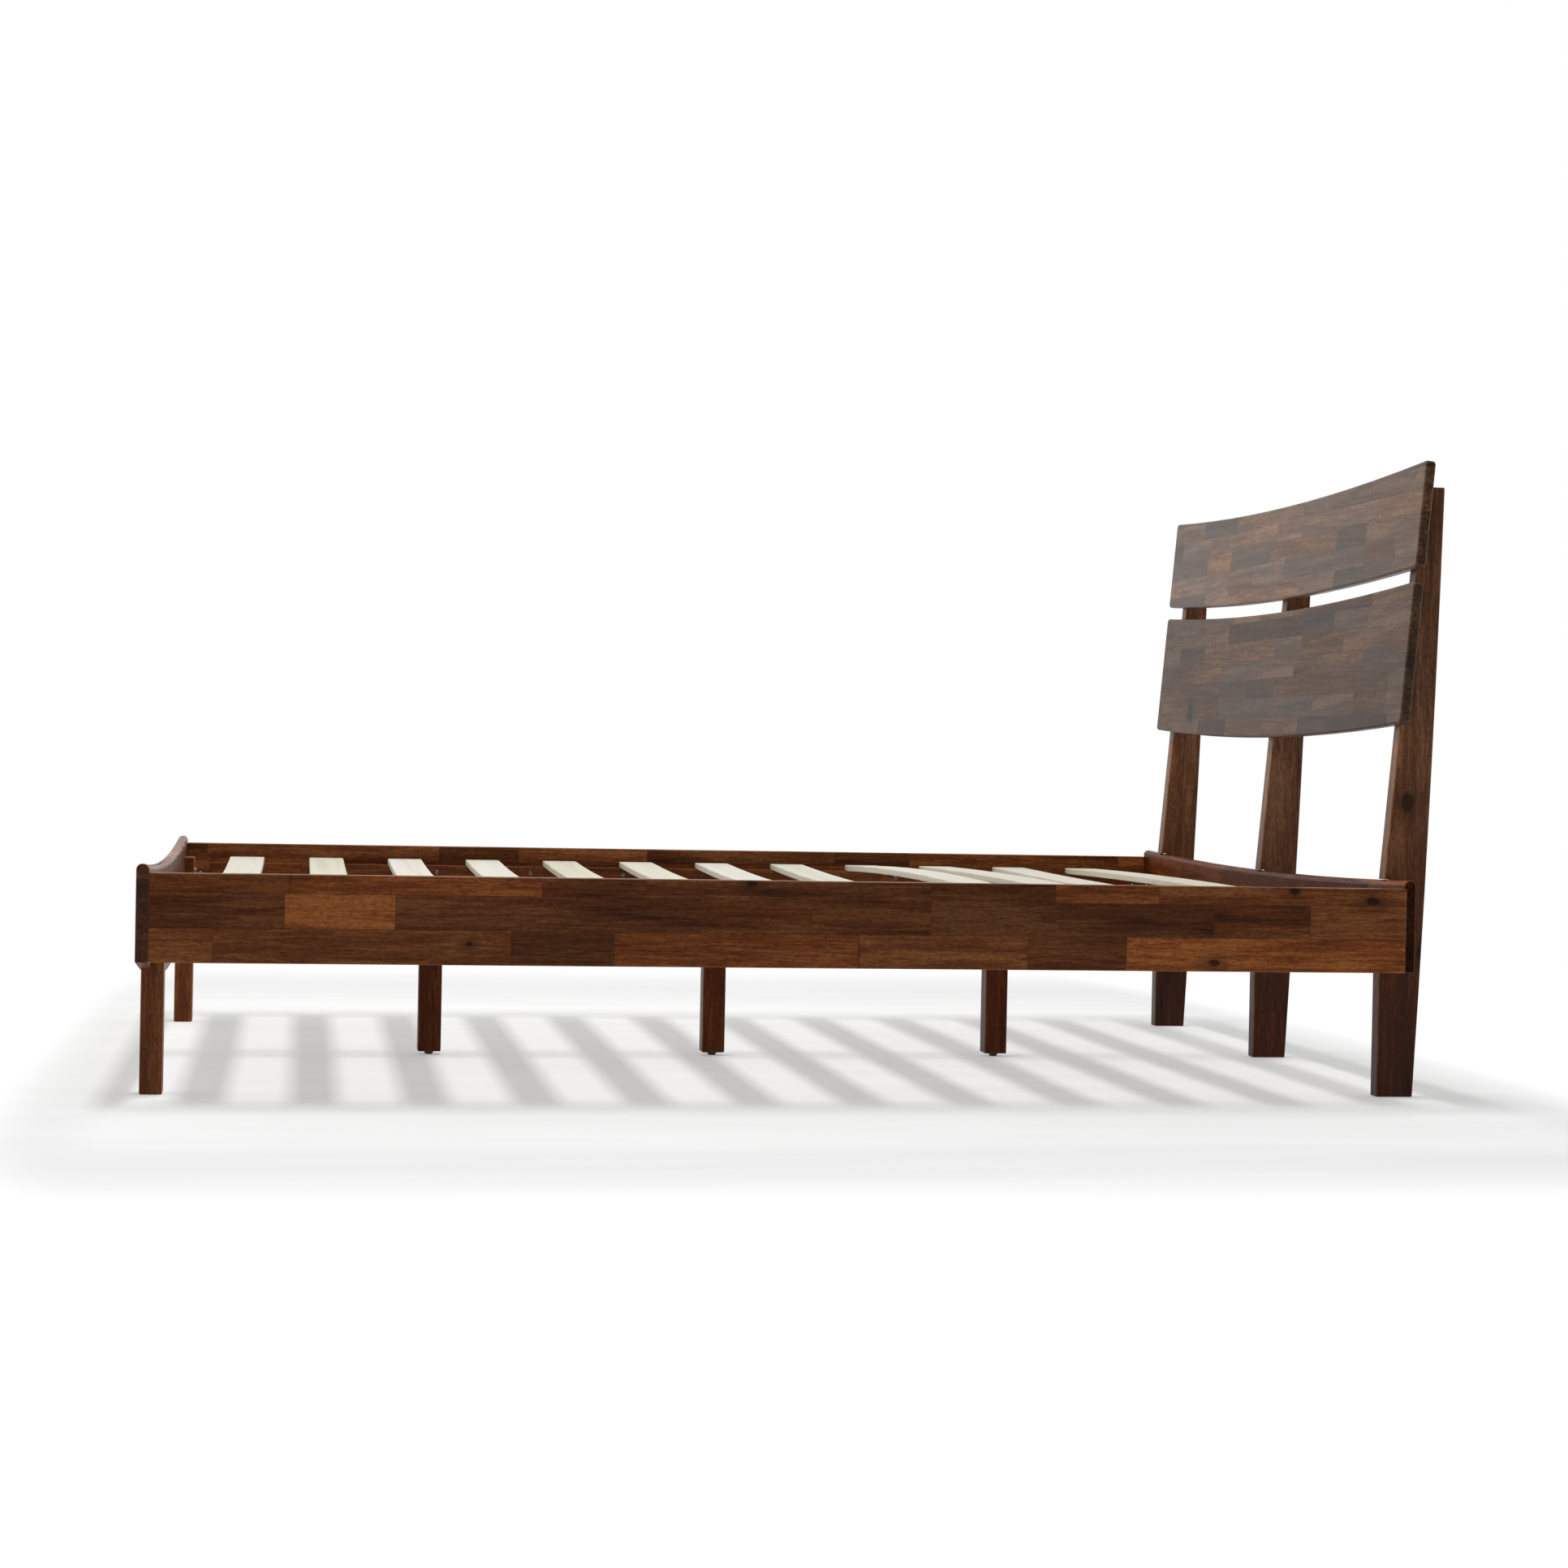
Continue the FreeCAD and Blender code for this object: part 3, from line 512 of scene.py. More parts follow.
    def worn_and_highlit_edges(self, recipe: Recipe, colour: Socket, facing: list[Socket], place: Place) -> Socket:
        """Lighten the rounded edges in patches: a painted highlight where they would catch the light, uneven
        like stain rubbed thin.

        Args:
            recipe: The material being written.
            colour: The wood's colour so far.
            facing: How far the surface faces along each axis.
            place: The point along, across and through the board.

        Returns:
            The colour with its worn edges.
        """
        most = recipe.math("MAXIMUM", facing[0], recipe.math("MAXIMUM", facing[1], facing[2]))
        # Painted highlight: a lighter colour on the rounded edges, in patches
        rounded = recipe.ramp(most, 0.86, 0.975, 1.0, 0.0)
        patches = recipe.ramp(recipe.noise(recipe.vector(*place), 24.0, 3.0), 0.35, 0.70, 0.25, 1.0)
        worn_highlight = tuple(min(1.0, 1.35 * part) for part in self.light)
        amount = recipe.math("MULTIPLY", recipe.math("MULTIPLY", rounded, patches), self.edge_wear_and_highlight)
        return recipe.blend(amount, colour, worn_highlight)


@dataclass(frozen=True)
class PaleWood:
    """Planed, unfinished pale slat wood."""

    name: str
    seed: float
    base: Colour = (0.575, 0.560, 0.470)
    shade: Colour = (0.450, 0.400, 0.290)
    fleck: Colour = (0.36, 0.25, 0.14)
    edge: Colour = (0.42, 0.30, 0.17)
    first_slat: float = 1.0110
    slats_per_metre: float = 6.192

    def material(self) -> bpy.types.Material:
        """Mix the finish.

        Returns:
            The material.
        """
        recipe = Recipe(self.name)
        across, run, rise = recipe.split(recipe.place())
        where = recipe.vector(
            recipe.math("MULTIPLY_ADD", across, 42.0, self.seed),
            recipe.math("MULTIPLY", run, 1.1),
            recipe.math("MULTIPLY", rise, 42.0),
        )
        figure = recipe.noise(where, 1.0, 4.0, 0.9, 0.6)
        fine_at = recipe.stretched((across, run, rise), (420.0, 13.0, 420.0))
        fibre = recipe.noise(fine_at, 1.0, 3.0, 0.1, 0.6)
        from_first = recipe.math("ADD", across, self.first_slat)
        slat = recipe.math("FLOOR", recipe.math("MULTIPLY", from_first, self.slats_per_metre))
        slat_chance = recipe.add("TexWhiteNoise", {"W": slat}, noise_dimensions="1D")
        fine = recipe.math("MULTIPLY", fibre, 0.25)
        mix = recipe.math("MULTIPLY_ADD", recipe.ramp(figure, 0.45, 0.75), 0.55, fine)
        colour = recipe.blend(mix, self.base, self.shade)
        tone = recipe.ramp(slat_chance, 0.0, 1.0, 0.93, 1.05)
        colour = recipe.shaded(colour, tone, tone, recipe.math("MULTIPLY", tone, tone))
        flecks = recipe.ramp(recipe.noise(fine_at, 0.35, 2.0), 0.66, 0.76)
        colour = recipe.blend(recipe.math("MULTIPLY", flecks, 0.35), colour, self.fleck)
        facing = recipe.facing()
        edge = recipe.ramp(recipe.math("MAXIMUM", facing[0], facing[1]), 0.30, 0.85)
        knife_marks = recipe.ramp(recipe.noise(where, 9.0, 3.0), 0.52, 0.72)
        marked = recipe.math("MULTIPLY", edge, recipe.math("MULTIPLY_ADD", knife_marks, 0.45, 0.18))
        colour = recipe.blend(marked, colour, self.edge)
        recipe.relief(recipe.math("MULTIPLY_ADD", figure, 0.5, fibre), 0.0003, 0.3)
        recipe.set(Base_Color=colour, Roughness=recipe.math("MULTIPLY_ADD", fibre, 0.2, 0.52), IOR=1.4)
        return recipe.material


@dataclass(frozen=True)
class PlatedSteel:
    """Plated or blacked steel: a soft spangle, fine scratches and a dull sheen."""

    name: str
    tint: Colour = (0.56, 0.565, 0.57)
    spangle: float = 220.0
    rough: float = 0.32

    def material(self) -> bpy.types.Material:
        """Mix the finish.

        Returns:
            The material.
        """
        recipe = Recipe(self.name)
        where = recipe.place()
        cells = recipe.add("TexVoronoi", {"Vector": where, "Scale": self.spangle}, output="Color")
        cell = recipe.split(cells)[0]
        brushed_at = recipe.stretched(tuple(recipe.split(where)), (1400.0, 1400.0, 90.0))
        scratches = recipe.noise(brushed_at, 1.0, 3.0)
        grime = recipe.ramp(recipe.noise(where, 60.0, 4.0), 0.40, 0.75)
        shade = recipe.math("MULTIPLY_ADD", cell, 0.16, 0.90)
        colour = recipe.shaded(self.tint, shade, shade, shade)
        dull = tuple(0.45 * part for part in self.tint)
        colour = recipe.blend(recipe.math("MULTIPLY", grime, 0.35), colour, dull)
        rough = recipe.math("MULTIPLY_ADD", scratches, 0.18, self.rough)
        recipe.relief(recipe.math("MULTIPLY_ADD", cell, 0.3, scratches), 0.0001, 0.25)
        recipe.set(Base_Color=colour, Roughness=recipe.math("MULTIPLY_ADD", grime, 0.15, rough), Metallic=1.0)
        return recipe.material


@dataclass(frozen=True)
class MouldedPlastic:
    """Black moulded plastic with a fine spark-eroded grain and scuffs."""

    name: str
    base: Colour = (0.012, 0.012, 0.013)
    scuff: Colour = (0.075, 0.073, 0.070)

    def material(self) -> bpy.types.Material:
        """Mix the finish.

        Returns:
            The material.
        """
        recipe = Recipe(self.name)
        where = recipe.place()
        grain = recipe.noise(where, 2600.0, 2.0)
        scuffs = recipe.ramp(recipe.noise(where, 320.0, 4.0, 0.8), 0.60, 0.72)
        colour = recipe.blend(recipe.math("MULTIPLY", scuffs, 0.5), self.base, self.scuff)
        recipe.relief(grain, 0.0001, 0.35)
        recipe.set(Base_Color=colour, Roughness=recipe.math("MULTIPLY_ADD", scuffs, 0.2, 0.45), IOR=1.46)
        return recipe.material


@dataclass(frozen=True)
class StudioSweep:
    """White studio floor that brightens to pure white away from the bed, and glows faintly near it: painted
    light that lifts the shade under the bed.
    """

    name: str = "studio_sweep"
    white: Colour = (0.53, 0.53, 0.53)
    shade_lifting_glow: float = 0.32
    clear_x: float = 1.08
    clear_front: float = 1.20
    clear_back: float = 0.95
    fade_x: float = 0.38
    fade_front: float = 1.10
    fade_back: float = 2.2

    def material(self) -> bpy.types.Material:
        """Mix the finish.

        Returns:
            The material.
        """
        recipe = Recipe(self.name)
        x, y, _ = recipe.split(recipe.place())
        aside = self.past(recipe, recipe.math("ABSOLUTE", x), self.clear_x, self.fade_x)
        before = self.past(recipe, recipe.math("MULTIPLY", y, -1.0), self.clear_front, self.fade_front)
        behind = self.past(recipe, y, self.clear_back, self.fade_back)
        beyond = recipe.vector(aside, before, behind)
        reach = recipe.add("VectorMath", {0: beyond}, output="Value", operation="LENGTH")
        fade = recipe.ramp(reach, 0.0, 1.0)
        along = recipe.math("MULTIPLY", x, 1.5)
        across = recipe.math("MULTIPLY", y, 9.0)
        streaks = recipe.noise(recipe.vector(along, across, 0.0), 1.0, 4.0)
        mottle = recipe.ramp(streaks, 0.3, 0.7, 0.97, 1.03)
        lit = recipe.shaded(self.white, mottle, mottle, mottle)
        recipe.set(Base_Color=recipe.blend(fade, lit, (0.0, 0.0, 0.0)), Roughness=0.9, IOR=1.2)
        # Painted light: the floor's own glow lifts the shade and slat shadows under the bed, rising to pure
        # white far off
        strength = recipe.ramp(fade, 0.0, 1.0, self.shade_lifting_glow, 1.0)
        recipe.set(Emission_Color=(1.0, 1.0, 1.0, 1.0), Emission_Strength=strength)
        return recipe.material

    def past(self, recipe: Recipe, distance: Socket, start: float, width: float) -> Socket:
        """How far a distance has run past a start, in widths."""
        over = recipe.math("DIVIDE", recipe.math("SUBTRACT", distance, start), width)
        return recipe.math("MAXIMUM", over, 0.0)


# ------------------------------------------------------------------ making meshes


def node_object(node: str) -> bpy.types.Object:
    """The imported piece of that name."""
    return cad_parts[node]


def dress(node: str, material: bpy.types.Material) -> None:
    """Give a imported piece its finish.

    Args:
        node: The piece's name.
        material: Its finish.
    """
    mesh = node_object(node).data
    mesh.materials.clear()
    mesh.materials.append(material)
    LOG.info("dressed %s in %s", node, material.name)


def add_piece(
    name: str, mesh: bpy.types.Mesh, material: bpy.types.Material, body: str
) -> bpy.types.Object:
    """Put a finished mesh in the scene on a body.

    Args:
        name: The piece's name.
        mesh: Its mesh, in the bed's frame.
        material: Its finish.
        body: The body it moves with.

    Returns:
        The piece.
    """
    mesh.materials.append(material)
    piece = bpy.data.objects.new(name, mesh)
    bpy.context.scene.collection.objects.link(piece)
    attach(piece, body)
    LOG.info("made %s with %d faces", name, len(mesh.polygons))
    return piece


@dataclass
class Ring:
    """One ring of a turned form: its place on the axis and its radius at each angle."""

    height: float
    radius: Callable[[float], float]


def round_ring(height: float, radius: float) -> Ring:
    """A plain circular ring."""
    return Ring(height, lambda angle: radius)


def turned_mesh(name: str, stacks: list[tuple[list[Ring], Matrix]], segments: int) -> bpy.types.Mesh:
    """Join turned forms in one mesh.

    Args:
        name: The mesh's name.
        stacks: Each form's rings, from one closed end to the other, and where it stands.
        segments: How many sides each ring has.

    Returns:
        The mesh, smooth where its faces meet gently.
    """
    form = bmesh.new()
    for rings, stand in stacks:
        loops = []
        for ring in rings:
            loop = []
            for step in range(segments):
                angle = 2 * math.pi * step / segments
                reach = ring.radius(angle)
                point = Vector((reach * math.cos(angle), reach * math.sin(angle), ring.height))
                loop.append(form.verts.new(stand @ point))
            loops.append(loop)
        for lower, upper in zip(loops, loops[1:]):
            for step in range(segments):
                following = (step + 1) % segments
                form.faces.new((lower[step], lower[following], upper[following], upper[step]))
        form.faces.new(tuple(reversed(loops[0])))
        form.faces.new(tuple(loops[-1]))
    bmesh.ops.recalc_face_normals(form, faces=form.faces)
    for face in form.faces:
        face.smooth = True
    for edge in form.edges:
        if len(edge.link_faces) == 2 and edge.calc_face_angle() > math.radians(38):
            edge.smooth = False
    mesh = bpy.data.meshes.new(name)
    form.to_mesh(mesh)
    form.free()
    return mesh


def thread_rings(start: float, end: float, radius: float, pitch: float, depth: float) -> list[Ring]:
    """Cut a helical thread along the axis.

    Args:
        start: Where it starts.
        end: Where it ends.
        radius: Its outside radius.
        pitch: Its pitch.
        depth: Its depth.

    Returns:
        Its rings, from start to end.
    """
    rings_per_turn = 4
    count = max(2, round(abs(end - start) / pitch * rings_per_turn))
    rings = []
    for step in range(count + 1):
        height = start + (end - start) * step / count

        def reach(angle: float, height: float = height) -> float:
            """The thread's radius at an angle of this ring."""
            turn = (height / pitch - angle / (2 * math.pi)) % 1.0
            return radius - depth * abs(2 * turn - 1)

        rings.append(Ring(height, reach))
    return rings


def drive_outline(drive: Drive, size: float) -> Callable[[float], float]:
    """Draw the outline of a head's recess.

    Args:
        drive: The kind of recess.
        size: Its reach from the axis to its corners or arm ends.

    Returns:
        Its radius at each angle.
    """
    arm_width = 0.30 * size

    def hexagon(angle: float) -> float:
        """The radius of a hexagon at an angle."""
        return size * math.cos(math.pi / 6) / math.cos((angle % (math.pi / 3)) - math.pi / 6)

    def cross(angle: float) -> float:
        """Find the radius of a four-armed cross.

        Args:
            angle: The angle round the axis.

        Returns:
            The radius there.
        """
        off_arm = abs((angle + math.pi / 4) % (math.pi / 2) - math.pi / 4)
        if math.tan(off_arm) < arm_width / size:
            return size / math.cos(off_arm)
        return arm_width / math.sin(off_arm)

    return cross if drive is Drive.CROSS else hexagon


@dataclass(frozen=True)
class Fastener:
    """A screw or bolt as it sits in the bed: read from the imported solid."""

    seat: Vector
    direction: Vector
    length: float
    head_height: float
    head_radius: float
    shank_radius: float

    def stand(self) -> Matrix:
        """The frame whose +Z is the way the fastener is driven, with its seat at the origin."""
        turn = Vector((0, 0, 1)).rotation_difference(self.direction)
        return Matrix.Translation(self.seat) @ turn.to_matrix().to_4x4()


def solids_of(node: str) -> list[np.ndarray]:
    """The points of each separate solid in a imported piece.

    Args:
        node: The piece's name.

    Returns:
        One array of points for each solid.
    """
    form = bmesh.new()
    form.from_mesh(node_object(node).data)
    bmesh.ops.remove_doubles(form, verts=form.verts, dist=1e-5)
    unseen = set(form.verts)
    solids = []
    for first in list(form.verts):
        if first not in unseen:
            continue
        unseen.discard(first)
        waiting = [first]
        found = []
        while waiting:
            vertex = waiting.pop()
            found.append(tuple(vertex.co))
            for edge in vertex.link_edges:
                other = edge.other_vert(vertex)
                if other in unseen:
                    unseen.discard(other)
                    waiting.append(other)
        solids.append(np.array(found))
    form.free()
    return solids


def read_fastener(points: np.ndarray) -> Fastener:
    """Find a fastener's seat, direction and sizes from its solid's points.

    Args:
        points: The solid's points.

    Returns:
        The fastener.
    """
    centre = points.mean(axis=0)
    _, _, axes = np.linalg.svd(points - centre)
    axis = axes[0]
    along = (points - centre) @ axis
    reach = np.linalg.norm(points - centre - np.outer(along, axis), axis=1)
    is_head = reach > 0.8 * reach.max()
    if along[is_head].mean() > along[~is_head].mean():
        axis = -axis
        along = -along
    seat_at = along[is_head].max()
    tip_at = along.max()
    shank = reach[along > tip_at - 1e-4]
    return Fastener(
        seat=Vector(centre + axis * seat_at),
        direction=Vector(axis),
        length=float(tip_at - seat_at),
        head_height=float(seat_at - along.min()),
        head_radius=float(reach.max()),
        shank_radius=float(shank.max()),
    )


# ------------------------------------------------------------------ wooden parts


@dataclass
class SideRails:
    """The two long rails and the ledges screwed inside them."""

    stave_height: float = 0.055
    stave_length: float = 0.29
    ledge_stave: float = 0.9
    knots_left: tuple[Knot, ...] = (
        (0.926, 0.337, 0.0100),
        (0.790, 0.352, 0.0085),
        (0.655, 0.233, 0.0080),
        (-0.115, 0.353, 0.0070),
        (-0.564, 0.252, 0.0045),
    )

    def build(self) -> None:
        """Dress each rail and its ledge in its own boards."""
        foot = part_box("side_rail_left")[0].z
        for number, side in enumerate(Side):
            rail = StainedWood(
                f"rail_wood_{side.value}", Axis.X, Axis.Z, seed=3.0 + 11.0 * number,
                stave_height=self.stave_height, stave_length=self.stave_length, first_row=foot,
                knots_at=self.knots_left if side is Side.LEFT else (),
            )
            dress(f"side_rail_{side.value}", rail.material())
            ledge = StainedWood(
                f"ledge_wood_{side.value}", Axis.X, Axis.Z, seed=29.0 + number,
                stave_height=self.stave_height, stave_length=self.ledge_stave, tone_spread=0.12,
                stain_and_shade_depth=1.3,
            )
            dress(f"ledge_{side.value}", ledge.material())


@dataclass
class CrossBoards:
    """The arched footboard and the head rail, both with bull-nose tops."""

    stave_height: float = 0.048
    stave_length: float = 0.31
    # How much darker each board is drawn: a deeper stain on both, and on the head rail also painted shade for
    # its shaded front face
    stain_and_shade_depths: tuple[float, float] = (1.10, 1.90)
    lacquer: tuple[float, float] = (1.30, 1.14)

    def build(self) -> None:
        """Dress both boards."""
        for number, node in enumerate(("footboard", "head_rail")):
            wood = StainedWood(
                f"{node}_wood", Axis.Y, Axis.Z, seed=47.0 + 5.0 * number,
                stave_height=self.stave_height, stave_length=self.stave_length, first_row=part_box(node)[0].z,
                stain_and_shade_depth=self.stain_and_shade_depths[number], lacquer_ior=self.lacquer[number], sawn_shade=(0.22, 0.62),
                edge_wear_and_highlight=0.25,
            )
            dress(node, wood.material())


@dataclass
class Headboard:
    """The three raked posts and the two dipped planks on their fronts."""

    stave_height: float = 0.038
    stave_length: float = 0.27
    post_stave: float = 0.052
    plank_gloss: tuple[float, float] = (0.36, 0.27)
    # Painted shade: the lower plank is drawn darker than the upper, for the dimmer light it catches
    plank_painted_shade: tuple[float, float] = (0.74, 1.0)
    plank_colours: tuple[Colour, Colour, Colour] = (
        (0.0290, 0.0130, 0.0052),
        (0.0720, 0.0330, 0.0150),
        (0.1350, 0.0700, 0.0360),
    )
    plank_knots: tuple[Knot, ...] = ((0.484, 0.660, 0.0160), (0.486, 0.676, 0.0140))
    post_knots: tuple[Knot, ...] = ((0.500, 1.024, 0.0140), (0.245, 1.052, 0.0080))

    def build(self) -> None:
        """Dress the planks and the posts."""
        for number, level in enumerate(("lower", "upper")):
            node = f"headboard_plank_{level}"
            # Painted shade: scale the lower plank's colours darker
            tone = self.plank_painted_shade[number]
            dark, middle, light = (tuple(part * tone for part in colour) for colour in self.plank_colours)
            wood = StainedWood(
                f"plank_wood_{level}", Axis.Y, Axis.Z, seed=61.0 + 7.0 * number,
                stave_height=self.stave_height, stave_length=self.stave_length, first_row=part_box(node)[0].z,
                dark=dark, middle=middle, light=light, tone_spread=0.48, gloss=self.plank_gloss[number],
                lacquer_ior=1.27, sawn_shade=(0.55, 1.15), edge_wear_and_highlight=0.08,
                knots_at=() if number else self.plank_knots,
            )
            dress(node, wood.material())
        for number, place in enumerate(("left", "middle", "right")):
            node = f"head_post_{place}"
            # Painted shade: the posts darken strongly towards the floor
            wood = StainedWood(
                f"post_wood_{place}", Axis.Z, Axis.X, seed=83.0 + 3.0 * number,
                stave_height=self.post_stave, stave_length=0.62, first_row=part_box(node)[0].x,
                dark=(0.048, 0.0170, 0.0066), middle=(0.142, 0.0550, 0.0205), light=(0.260, 0.120, 0.055),
                tone_spread=0.12, knots_at=self.post_knots if place == "left" else (), painted_foot_shade=3.4,
                lacquer_ior=1.26,
            )
            dress(node, wood.material())


@dataclass
class FootLegs:
    """The two legs let into the footboard from inside."""

    stave_length: float = 0.5

    def build(self) -> None:
        """Dress both legs in upright grain."""
        for number, side in enumerate(Side):
            node = f"foot_leg_{side.value}"
            wood = StainedWood(
                f"foot_leg_wood_{side.value}", Axis.Z, Axis.Y, seed=97.0 + 2.0 * number,
                stave_height=0.09, stave_length=self.stave_length, first_row=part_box(node)[0].y,
                tone_spread=0.10, knots=0.0, stain_and_shade_depth=0.88,
            )
            dress(node, wood.material())


@dataclass
class SlatDeck:
    """The pale slats across the bed."""

    count: int = 12

    def build(self) -> None:
        """Dress every slat in the same planed wood, each with its own tone."""
        wood = PaleWood("slat_wood_planed", seed=5.0).material()
        for number in range(1, self.count + 1):
            dress(f"slat_{number:02d}", wood)


@dataclass
class CentreSupport:
    """The beam under the slats, its legs, and the glides that level them."""

    places: tuple[str, ...] = ("foot", "middle", "head")
    grip_ribs: int = 20
    rib_depth: float = 0.045
    stem_pitch: float = 0.00125
    segments: int = 40

    def build(self) -> None:
        """Dress the beam and legs, and make each glide with its stem."""
        beam = StainedWood(
            "beam_wood", Axis.X, Axis.Z, seed=113.0, stave_height=0.12, stave_length=1.1, tone_spread=0.1
        )
        dress("centre_beam", beam.material())
        plastic = MouldedPlastic("glide_plastic_black").material()
        steel = PlatedSteel("glide_stem_steel", rough=0.28).material()
        for number, place in enumerate(self.places):
            # Painted shade: the centre legs are drawn much darker, for the shade they stand in under the bed
            wood = StainedWood(
                f"centre_leg_wood_{place}", Axis.Z, Axis.X, seed=131.0 + 4.0 * number,
                stave_height=0.09, stave_length=0.5, first_row=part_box(f"centre_leg_{place}")[0].x,
                tone_spread=0.10, knots=0.0, stain_and_shade_depth=2.1,
            )
            dress(f"centre_leg_{place}", wood.material())
            self.make_glide(place, plastic, steel)

    def make_glide(self, place: str, plastic: bpy.types.Material, steel: bpy.types.Material) -> None:
        """Make one glide: a ribbed tapered pad on a threaded stem.

        Args:
            place: Which centre leg it stands under.
            plastic: The pad's finish.
            steel: The stem's finish.
        """
        low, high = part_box(f"glide_{place}")
        pad_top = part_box(f"centre_leg_{place}")[0].z
        stand = Matrix.Translation(((low.x + high.x) / 2, (low.y + high.y) / 2, 0.0))
        wide = (high.x - low.x) / 2
        narrow = 0.78 * wide

        def ribbed(radius: float) -> Callable[[float], float]:
            """A radius with grip ribs round it."""
            deepest = radius * self.rib_depth
            return lambda angle: radius - deepest * (0.5 + 0.5 * math.cos(self.grip_ribs * angle))

        pad = [
            round_ring(low.z + 0.0004, 0.0015),
            round_ring(low.z, 0.55 * narrow),
            round_ring(low.z, 0.90 * narrow),
            round_ring(low.z + 0.0007, narrow),
            Ring(low.z + 0.0014, ribbed(narrow * 1.04)),
            Ring(pad_top - 0.0014, ribbed(wide * 0.985)),
            round_ring(pad_top - 0.0009, wide),
            round_ring(pad_top - 0.0002, wide * 0.985),
            round_ring(pad_top - 0.0001, 0.0032),
        ]
        mesh = turned_mesh(f"glide_pad_{place}", [(pad, stand)], self.segments)
        piece = add_piece(f"glide_pad_{place}", mesh, plastic, f"{place}_glide")
        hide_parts(f"glide_{place}")
        stem = thread_rings(pad_top - 0.0008, high.z - 0.0008, 0.004, self.stem_pitch, 0.0006)
        stem.append(round_ring(high.z, 0.0026))
        mesh = turned_mesh(f"glide_stem_{place}", [(stem, stand)], 24)
        add_piece(f"glide_stem_{place}", mesh, steel, f"{place}_glide")


# ------------------------------------------------------------------ steel parts


@dataclass
class Hardware:
    """Brackets, beam hangers, and every screw, bolt and stud."""

    corners: tuple[str, ...] = ("foot_left", "foot_right", "head_left", "head_right")
    bolt_groups: tuple[str, ...] = ("corner_bolts", "leg_bolts", "post_bolts")
    screw_groups: tuple[str, ...] = (
        "ledge_screws_left", "ledge_screws_right", "plank_screws", "hanger_screws"
    )
    bolt_pitch: float = 0.00125
    screw_pitch: float = 0.0020
    segments: int = 32
    crown: tuple[tuple[float, float], ...] = (
        (0.0, 1.0), (-0.30, 1.0), (-0.58, 0.955), (-0.80, 0.84), (-0.94, 0.68), (-1.0, 0.54)
    )

    def build(self) -> None:
        """Dress the brackets and hangers and make the fasteners."""
        blacked = PlatedSteel("bracket_steel_blacked", tint=(0.05, 0.048, 0.046), rough=0.42)
        sheet_steel = blacked.material()
        for corner in self.corners:
            dress(f"corner_bracket_{corner}", sheet_steel)
        for end in ("foot", "head"):
            dress(f"beam_hanger_{end}", sheet_steel)
        plated = PlatedSteel("fastener_steel_plated", tint=(0.20, 0.17, 0.14), spangle=900.0, rough=0.26)
        bright = plated.material()
        for group in self.bolt_groups:
            self.make_group(group, Drive.HEX, self.bolt_pitch, bright)
        for group in self.screw_groups:
            self.make_group(group, Drive.CROSS, self.screw_pitch, bright)
        self.make_studs(bright)

    def make_group(self, group: str, drive: Drive, pitch: float, material: bpy.types.Material) -> None:
        """Make one packed group of fasteners again, threaded and recessed.

        Args:
            group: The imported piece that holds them.
            drive: The recess in their heads.
            pitch: Their thread's pitch, in metres.
            material: Their finish.
        """
        stacks = []
        for points in solids_of(group):
            fastener = read_fastener(points)
            stacks.append((self.fastener_rings(fastener, drive, pitch), fastener.stand()))
        mesh = turned_mesh(group + "_cut", stacks, self.segments)
        piece = add_piece(group + "_cut", mesh, material, BED_BODY)
        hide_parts(group)

    def fastener_rings(self, fastener: Fastener, drive: Drive, pitch: float) -> list[Ring]:
        """The rings of one fastener, from its tip to the floor of its recess.

        Args:
            fastener: Its sizes.
            drive: The recess in its head.
            pitch: Its thread's pitch, in metres.

        Returns:
            The rings, with the seat at height 0 and the head below it.
        """
        shank = fastener.shank_radius
        head = fastener.head_radius
        rise = fastener.head_height
        taper = 1.2 * shank if drive is Drive.CROSS else 0.3 * shank
        rings = [round_ring(fastener.length, 0.12 * shank if drive is Drive.CROSS else 0.72 * shank)]
        rings += thread_rings(fastener.length - taper, 0.25 * pitch, shank, pitch, 0.16 * shank)
        recess = 0.46 * head
        outline = drive_outline(drive, recess)
        rings.append(round_ring(0.0, 0.94 * shank))
        rings += [round_ring(share * rise, width * head) for share, width in self.crown]
        rings.append(Ring(-1.0 * rise, outline))
        rings.append(Ring(-0.93 * rise, lambda angle: 0.94 * outline(angle)))
        rings.append(Ring(-0.30 * rise, lambda angle: 0.80 * outline(angle)))
        rings.append(round_ring(-0.24 * rise, 0.10 * head))
        return rings

    def make_studs(self, material: bpy.types.Material) -> None:
        """Make the double-ended studs that join the centre legs to the beam.

        Args:
            material: Their finish.
        """
        stacks = []
        for points in solids_of("leg_studs"):
            low = points.min(axis=0)
            high = points.max(axis=0)
            radius = float(high[0] - low[0]) / 2
            middle = (low + high) / 2
            half = float(high[2] - low[2]) / 2
            rings = [round_ring(-half, 0.7 * radius)]
            rings += thread_rings(-half + 0.0008, -0.004, radius, 0.0015, 0.0006)
            rings += [round_ring(-0.003, 0.9 * radius), round_ring(0.003, 0.9 * radius)]
            rings += thread_rings(0.004, half - 0.0008, radius, 0.0015, 0.0006)
            rings.append(round_ring(half, 0.7 * radius))
            stacks.append((rings, Matrix.Translation(Vector(middle))))
        mesh = turned_mesh("leg_studs_cut", stacks, 24)
        piece = add_piece("leg_studs_cut", mesh, material, BED_BODY)
        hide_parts("leg_studs")


# ------------------------------------------------------------------ studio


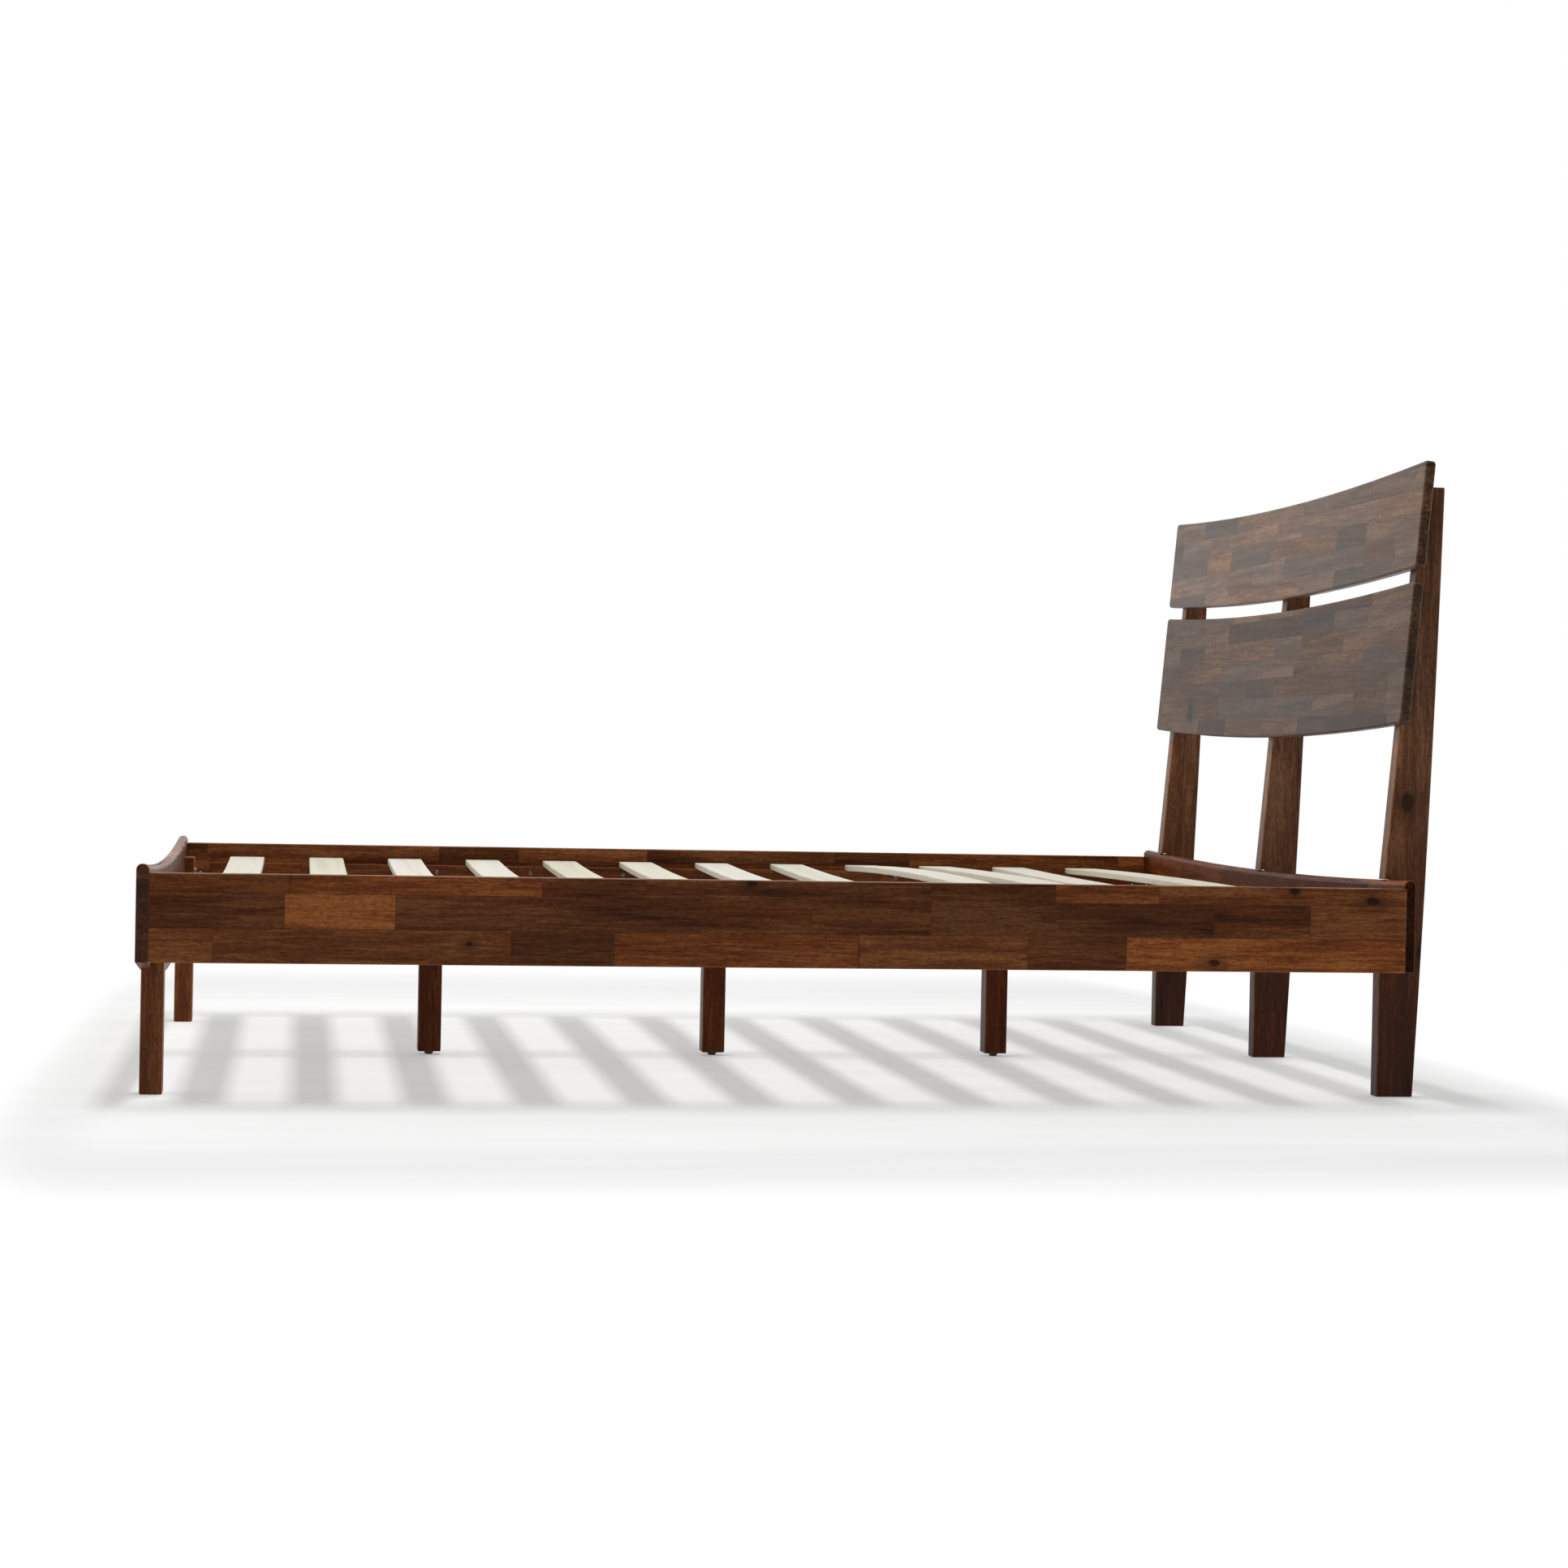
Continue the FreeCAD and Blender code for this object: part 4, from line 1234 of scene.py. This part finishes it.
@dataclass
class Studio:
    """The plain pale floor, soft light and the camera."""

    floor_radius: float = 3.7
    floor_drop: float = 0.0003
    key_place: tuple[float, float, float] = (-0.50, 0.0, 3.86)
    key_width: float = 0.40
    key_reach: float = 1.9
    key_power: float = 92.0
    sky: float = 1.25
    front_dark: float = 0.22
    zenith: float = 0.62
    camera_place: tuple[float, float, float] = (-0.8287, -5.5123, 0.5484)
    camera_yaw: float = 9.177
    camera_pitch: float = -0.419
    camera_roll: float = 1.120
    lens: float = 68.49
    sensor: float = 36.0

    def build(self) -> None:
        """Lay the floor, light it and set the camera."""
        self.lay_floor()
        self.light_sky()
        self.hang_key()
        self.set_camera()
        bpy.context.scene.view_settings.view_transform = "Standard"

    def lay_floor(self) -> None:
        """A wide round sheet of white."""
        form = bmesh.new()
        bmesh.ops.create_circle(form, cap_ends=True, segments=96, radius=self.floor_radius)
        mesh = bpy.data.meshes.new("studio_floor")
        form.to_mesh(mesh)
        form.free()
        mesh.materials.append(StudioSweep().material())
        floor = bpy.data.objects.new("studio_floor", mesh)
        floor.location.z = -self.floor_drop
        bpy.context.scene.collection.objects.link(floor)

    def light_sky(self) -> None:
        """A white room that is dim on the -Y side, where nothing faces the rails."""
        world = bpy.data.worlds.new("studio_room")
        bpy.context.scene.world = world
        world.use_nodes = True
        nodes = world.node_tree.nodes
        links = world.node_tree.links
        background = nodes["Background"]
        direction = nodes.new("ShaderNodeTexCoord")
        parts = nodes.new("ShaderNodeSeparateXYZ")
        links.new(direction.outputs["Generated"], parts.inputs[0])
        front = self.eased(world.node_tree, parts.outputs[1], (-0.75, 0.15, self.front_dark, self.sky))
        overhead = self.eased(world.node_tree, parts.outputs[2], (0.25, 0.95, 1.0, self.zenith))
        dimmed = nodes.new("ShaderNodeMath")
        dimmed.operation = "MULTIPLY"
        links.new(front, dimmed.inputs[0])
        links.new(overhead, dimmed.inputs[1])
        seen = nodes.new("ShaderNodeLightPath")
        choose = nodes.new("ShaderNodeMix")
        choose.data_type = "FLOAT"
        links.new(seen.outputs["Is Camera Ray"], choose.inputs[0])
        links.new(dimmed.outputs[0], choose.inputs[2])
        choose.inputs[3].default_value = 1.0
        links.new(choose.outputs[0], background.inputs["Strength"])
        background.inputs["Color"].default_value = (1.0, 1.0, 1.0, 1.0)

    def eased(self, tree: bpy.types.NodeTree, value: Socket, span: tuple[float, ...]) -> Socket:
        """Ease the room's brightness along one direction.

        Args:
            tree: The room's nodes.
            value: The direction's part.
            span: The part's low and high, and the brightness at each.

        Returns:
            The brightness.
        """
        ease = tree.nodes.new("ShaderNodeMapRange")
        ease.interpolation_type = "SMOOTHSTEP"
        tree.links.new(value, ease.inputs["Value"])
        for name, number in zip(("From Min", "From Max", "To Min", "To Max"), span):
            ease.inputs[name].default_value = number
        return ease.outputs["Result"]

    def hang_key(self) -> None:
        """A long narrow lamp high over the bed, set across it, which draws the slats on the floor."""
        lamp = bpy.data.lights.new("key_lamp", "AREA")
        lamp.shape = "RECTANGLE"
        lamp.size = self.key_width
        lamp.size_y = self.key_reach
        lamp.energy = self.key_power
        key = bpy.data.objects.new("key_lamp", lamp)
        key.location = self.key_place
        bpy.context.scene.collection.objects.link(key)

    def set_camera(self) -> None:
        """The camera, from its place and its three turns."""
        yaw = math.radians(self.camera_yaw)
        pitch = math.radians(self.camera_pitch)
        roll = math.radians(self.camera_roll)
        ahead = math.cos(pitch)
        forward = Vector((math.sin(yaw) * ahead, math.cos(yaw) * ahead, math.sin(pitch)))
        level = Vector((math.cos(yaw), -math.sin(yaw), 0.0))
        upright = level.cross(forward)
        right = math.cos(roll) * level + math.sin(roll) * upright
        up = -math.sin(roll) * level + math.cos(roll) * upright
        lens = bpy.data.cameras.new("camera")
        lens.lens = self.lens
        lens.sensor_width = self.sensor
        camera = bpy.data.objects.new("camera", lens)
        turn = Matrix((right, up, -forward)).transposed()
        camera.matrix_world = Matrix.Translation(self.camera_place) @ turn.to_4x4()
        bpy.context.scene.collection.objects.link(camera)
        bpy.context.scene.camera = camera


def main() -> None:
    """Build the bed from its sub-assemblies, then the studio."""
    logging.basicConfig(level=logging.INFO, format="%(message)s")
    assemblies = (
        SideRails, CrossBoards, Headboard, FootLegs, SlatDeck, CentreSupport, Hardware, Studio
    )
    for assembly in (kind() for kind in assemblies):
        assembly.build()
        LOG.info("finished %s", type(assembly).__name__)


if __name__ == "__main__":
    main()
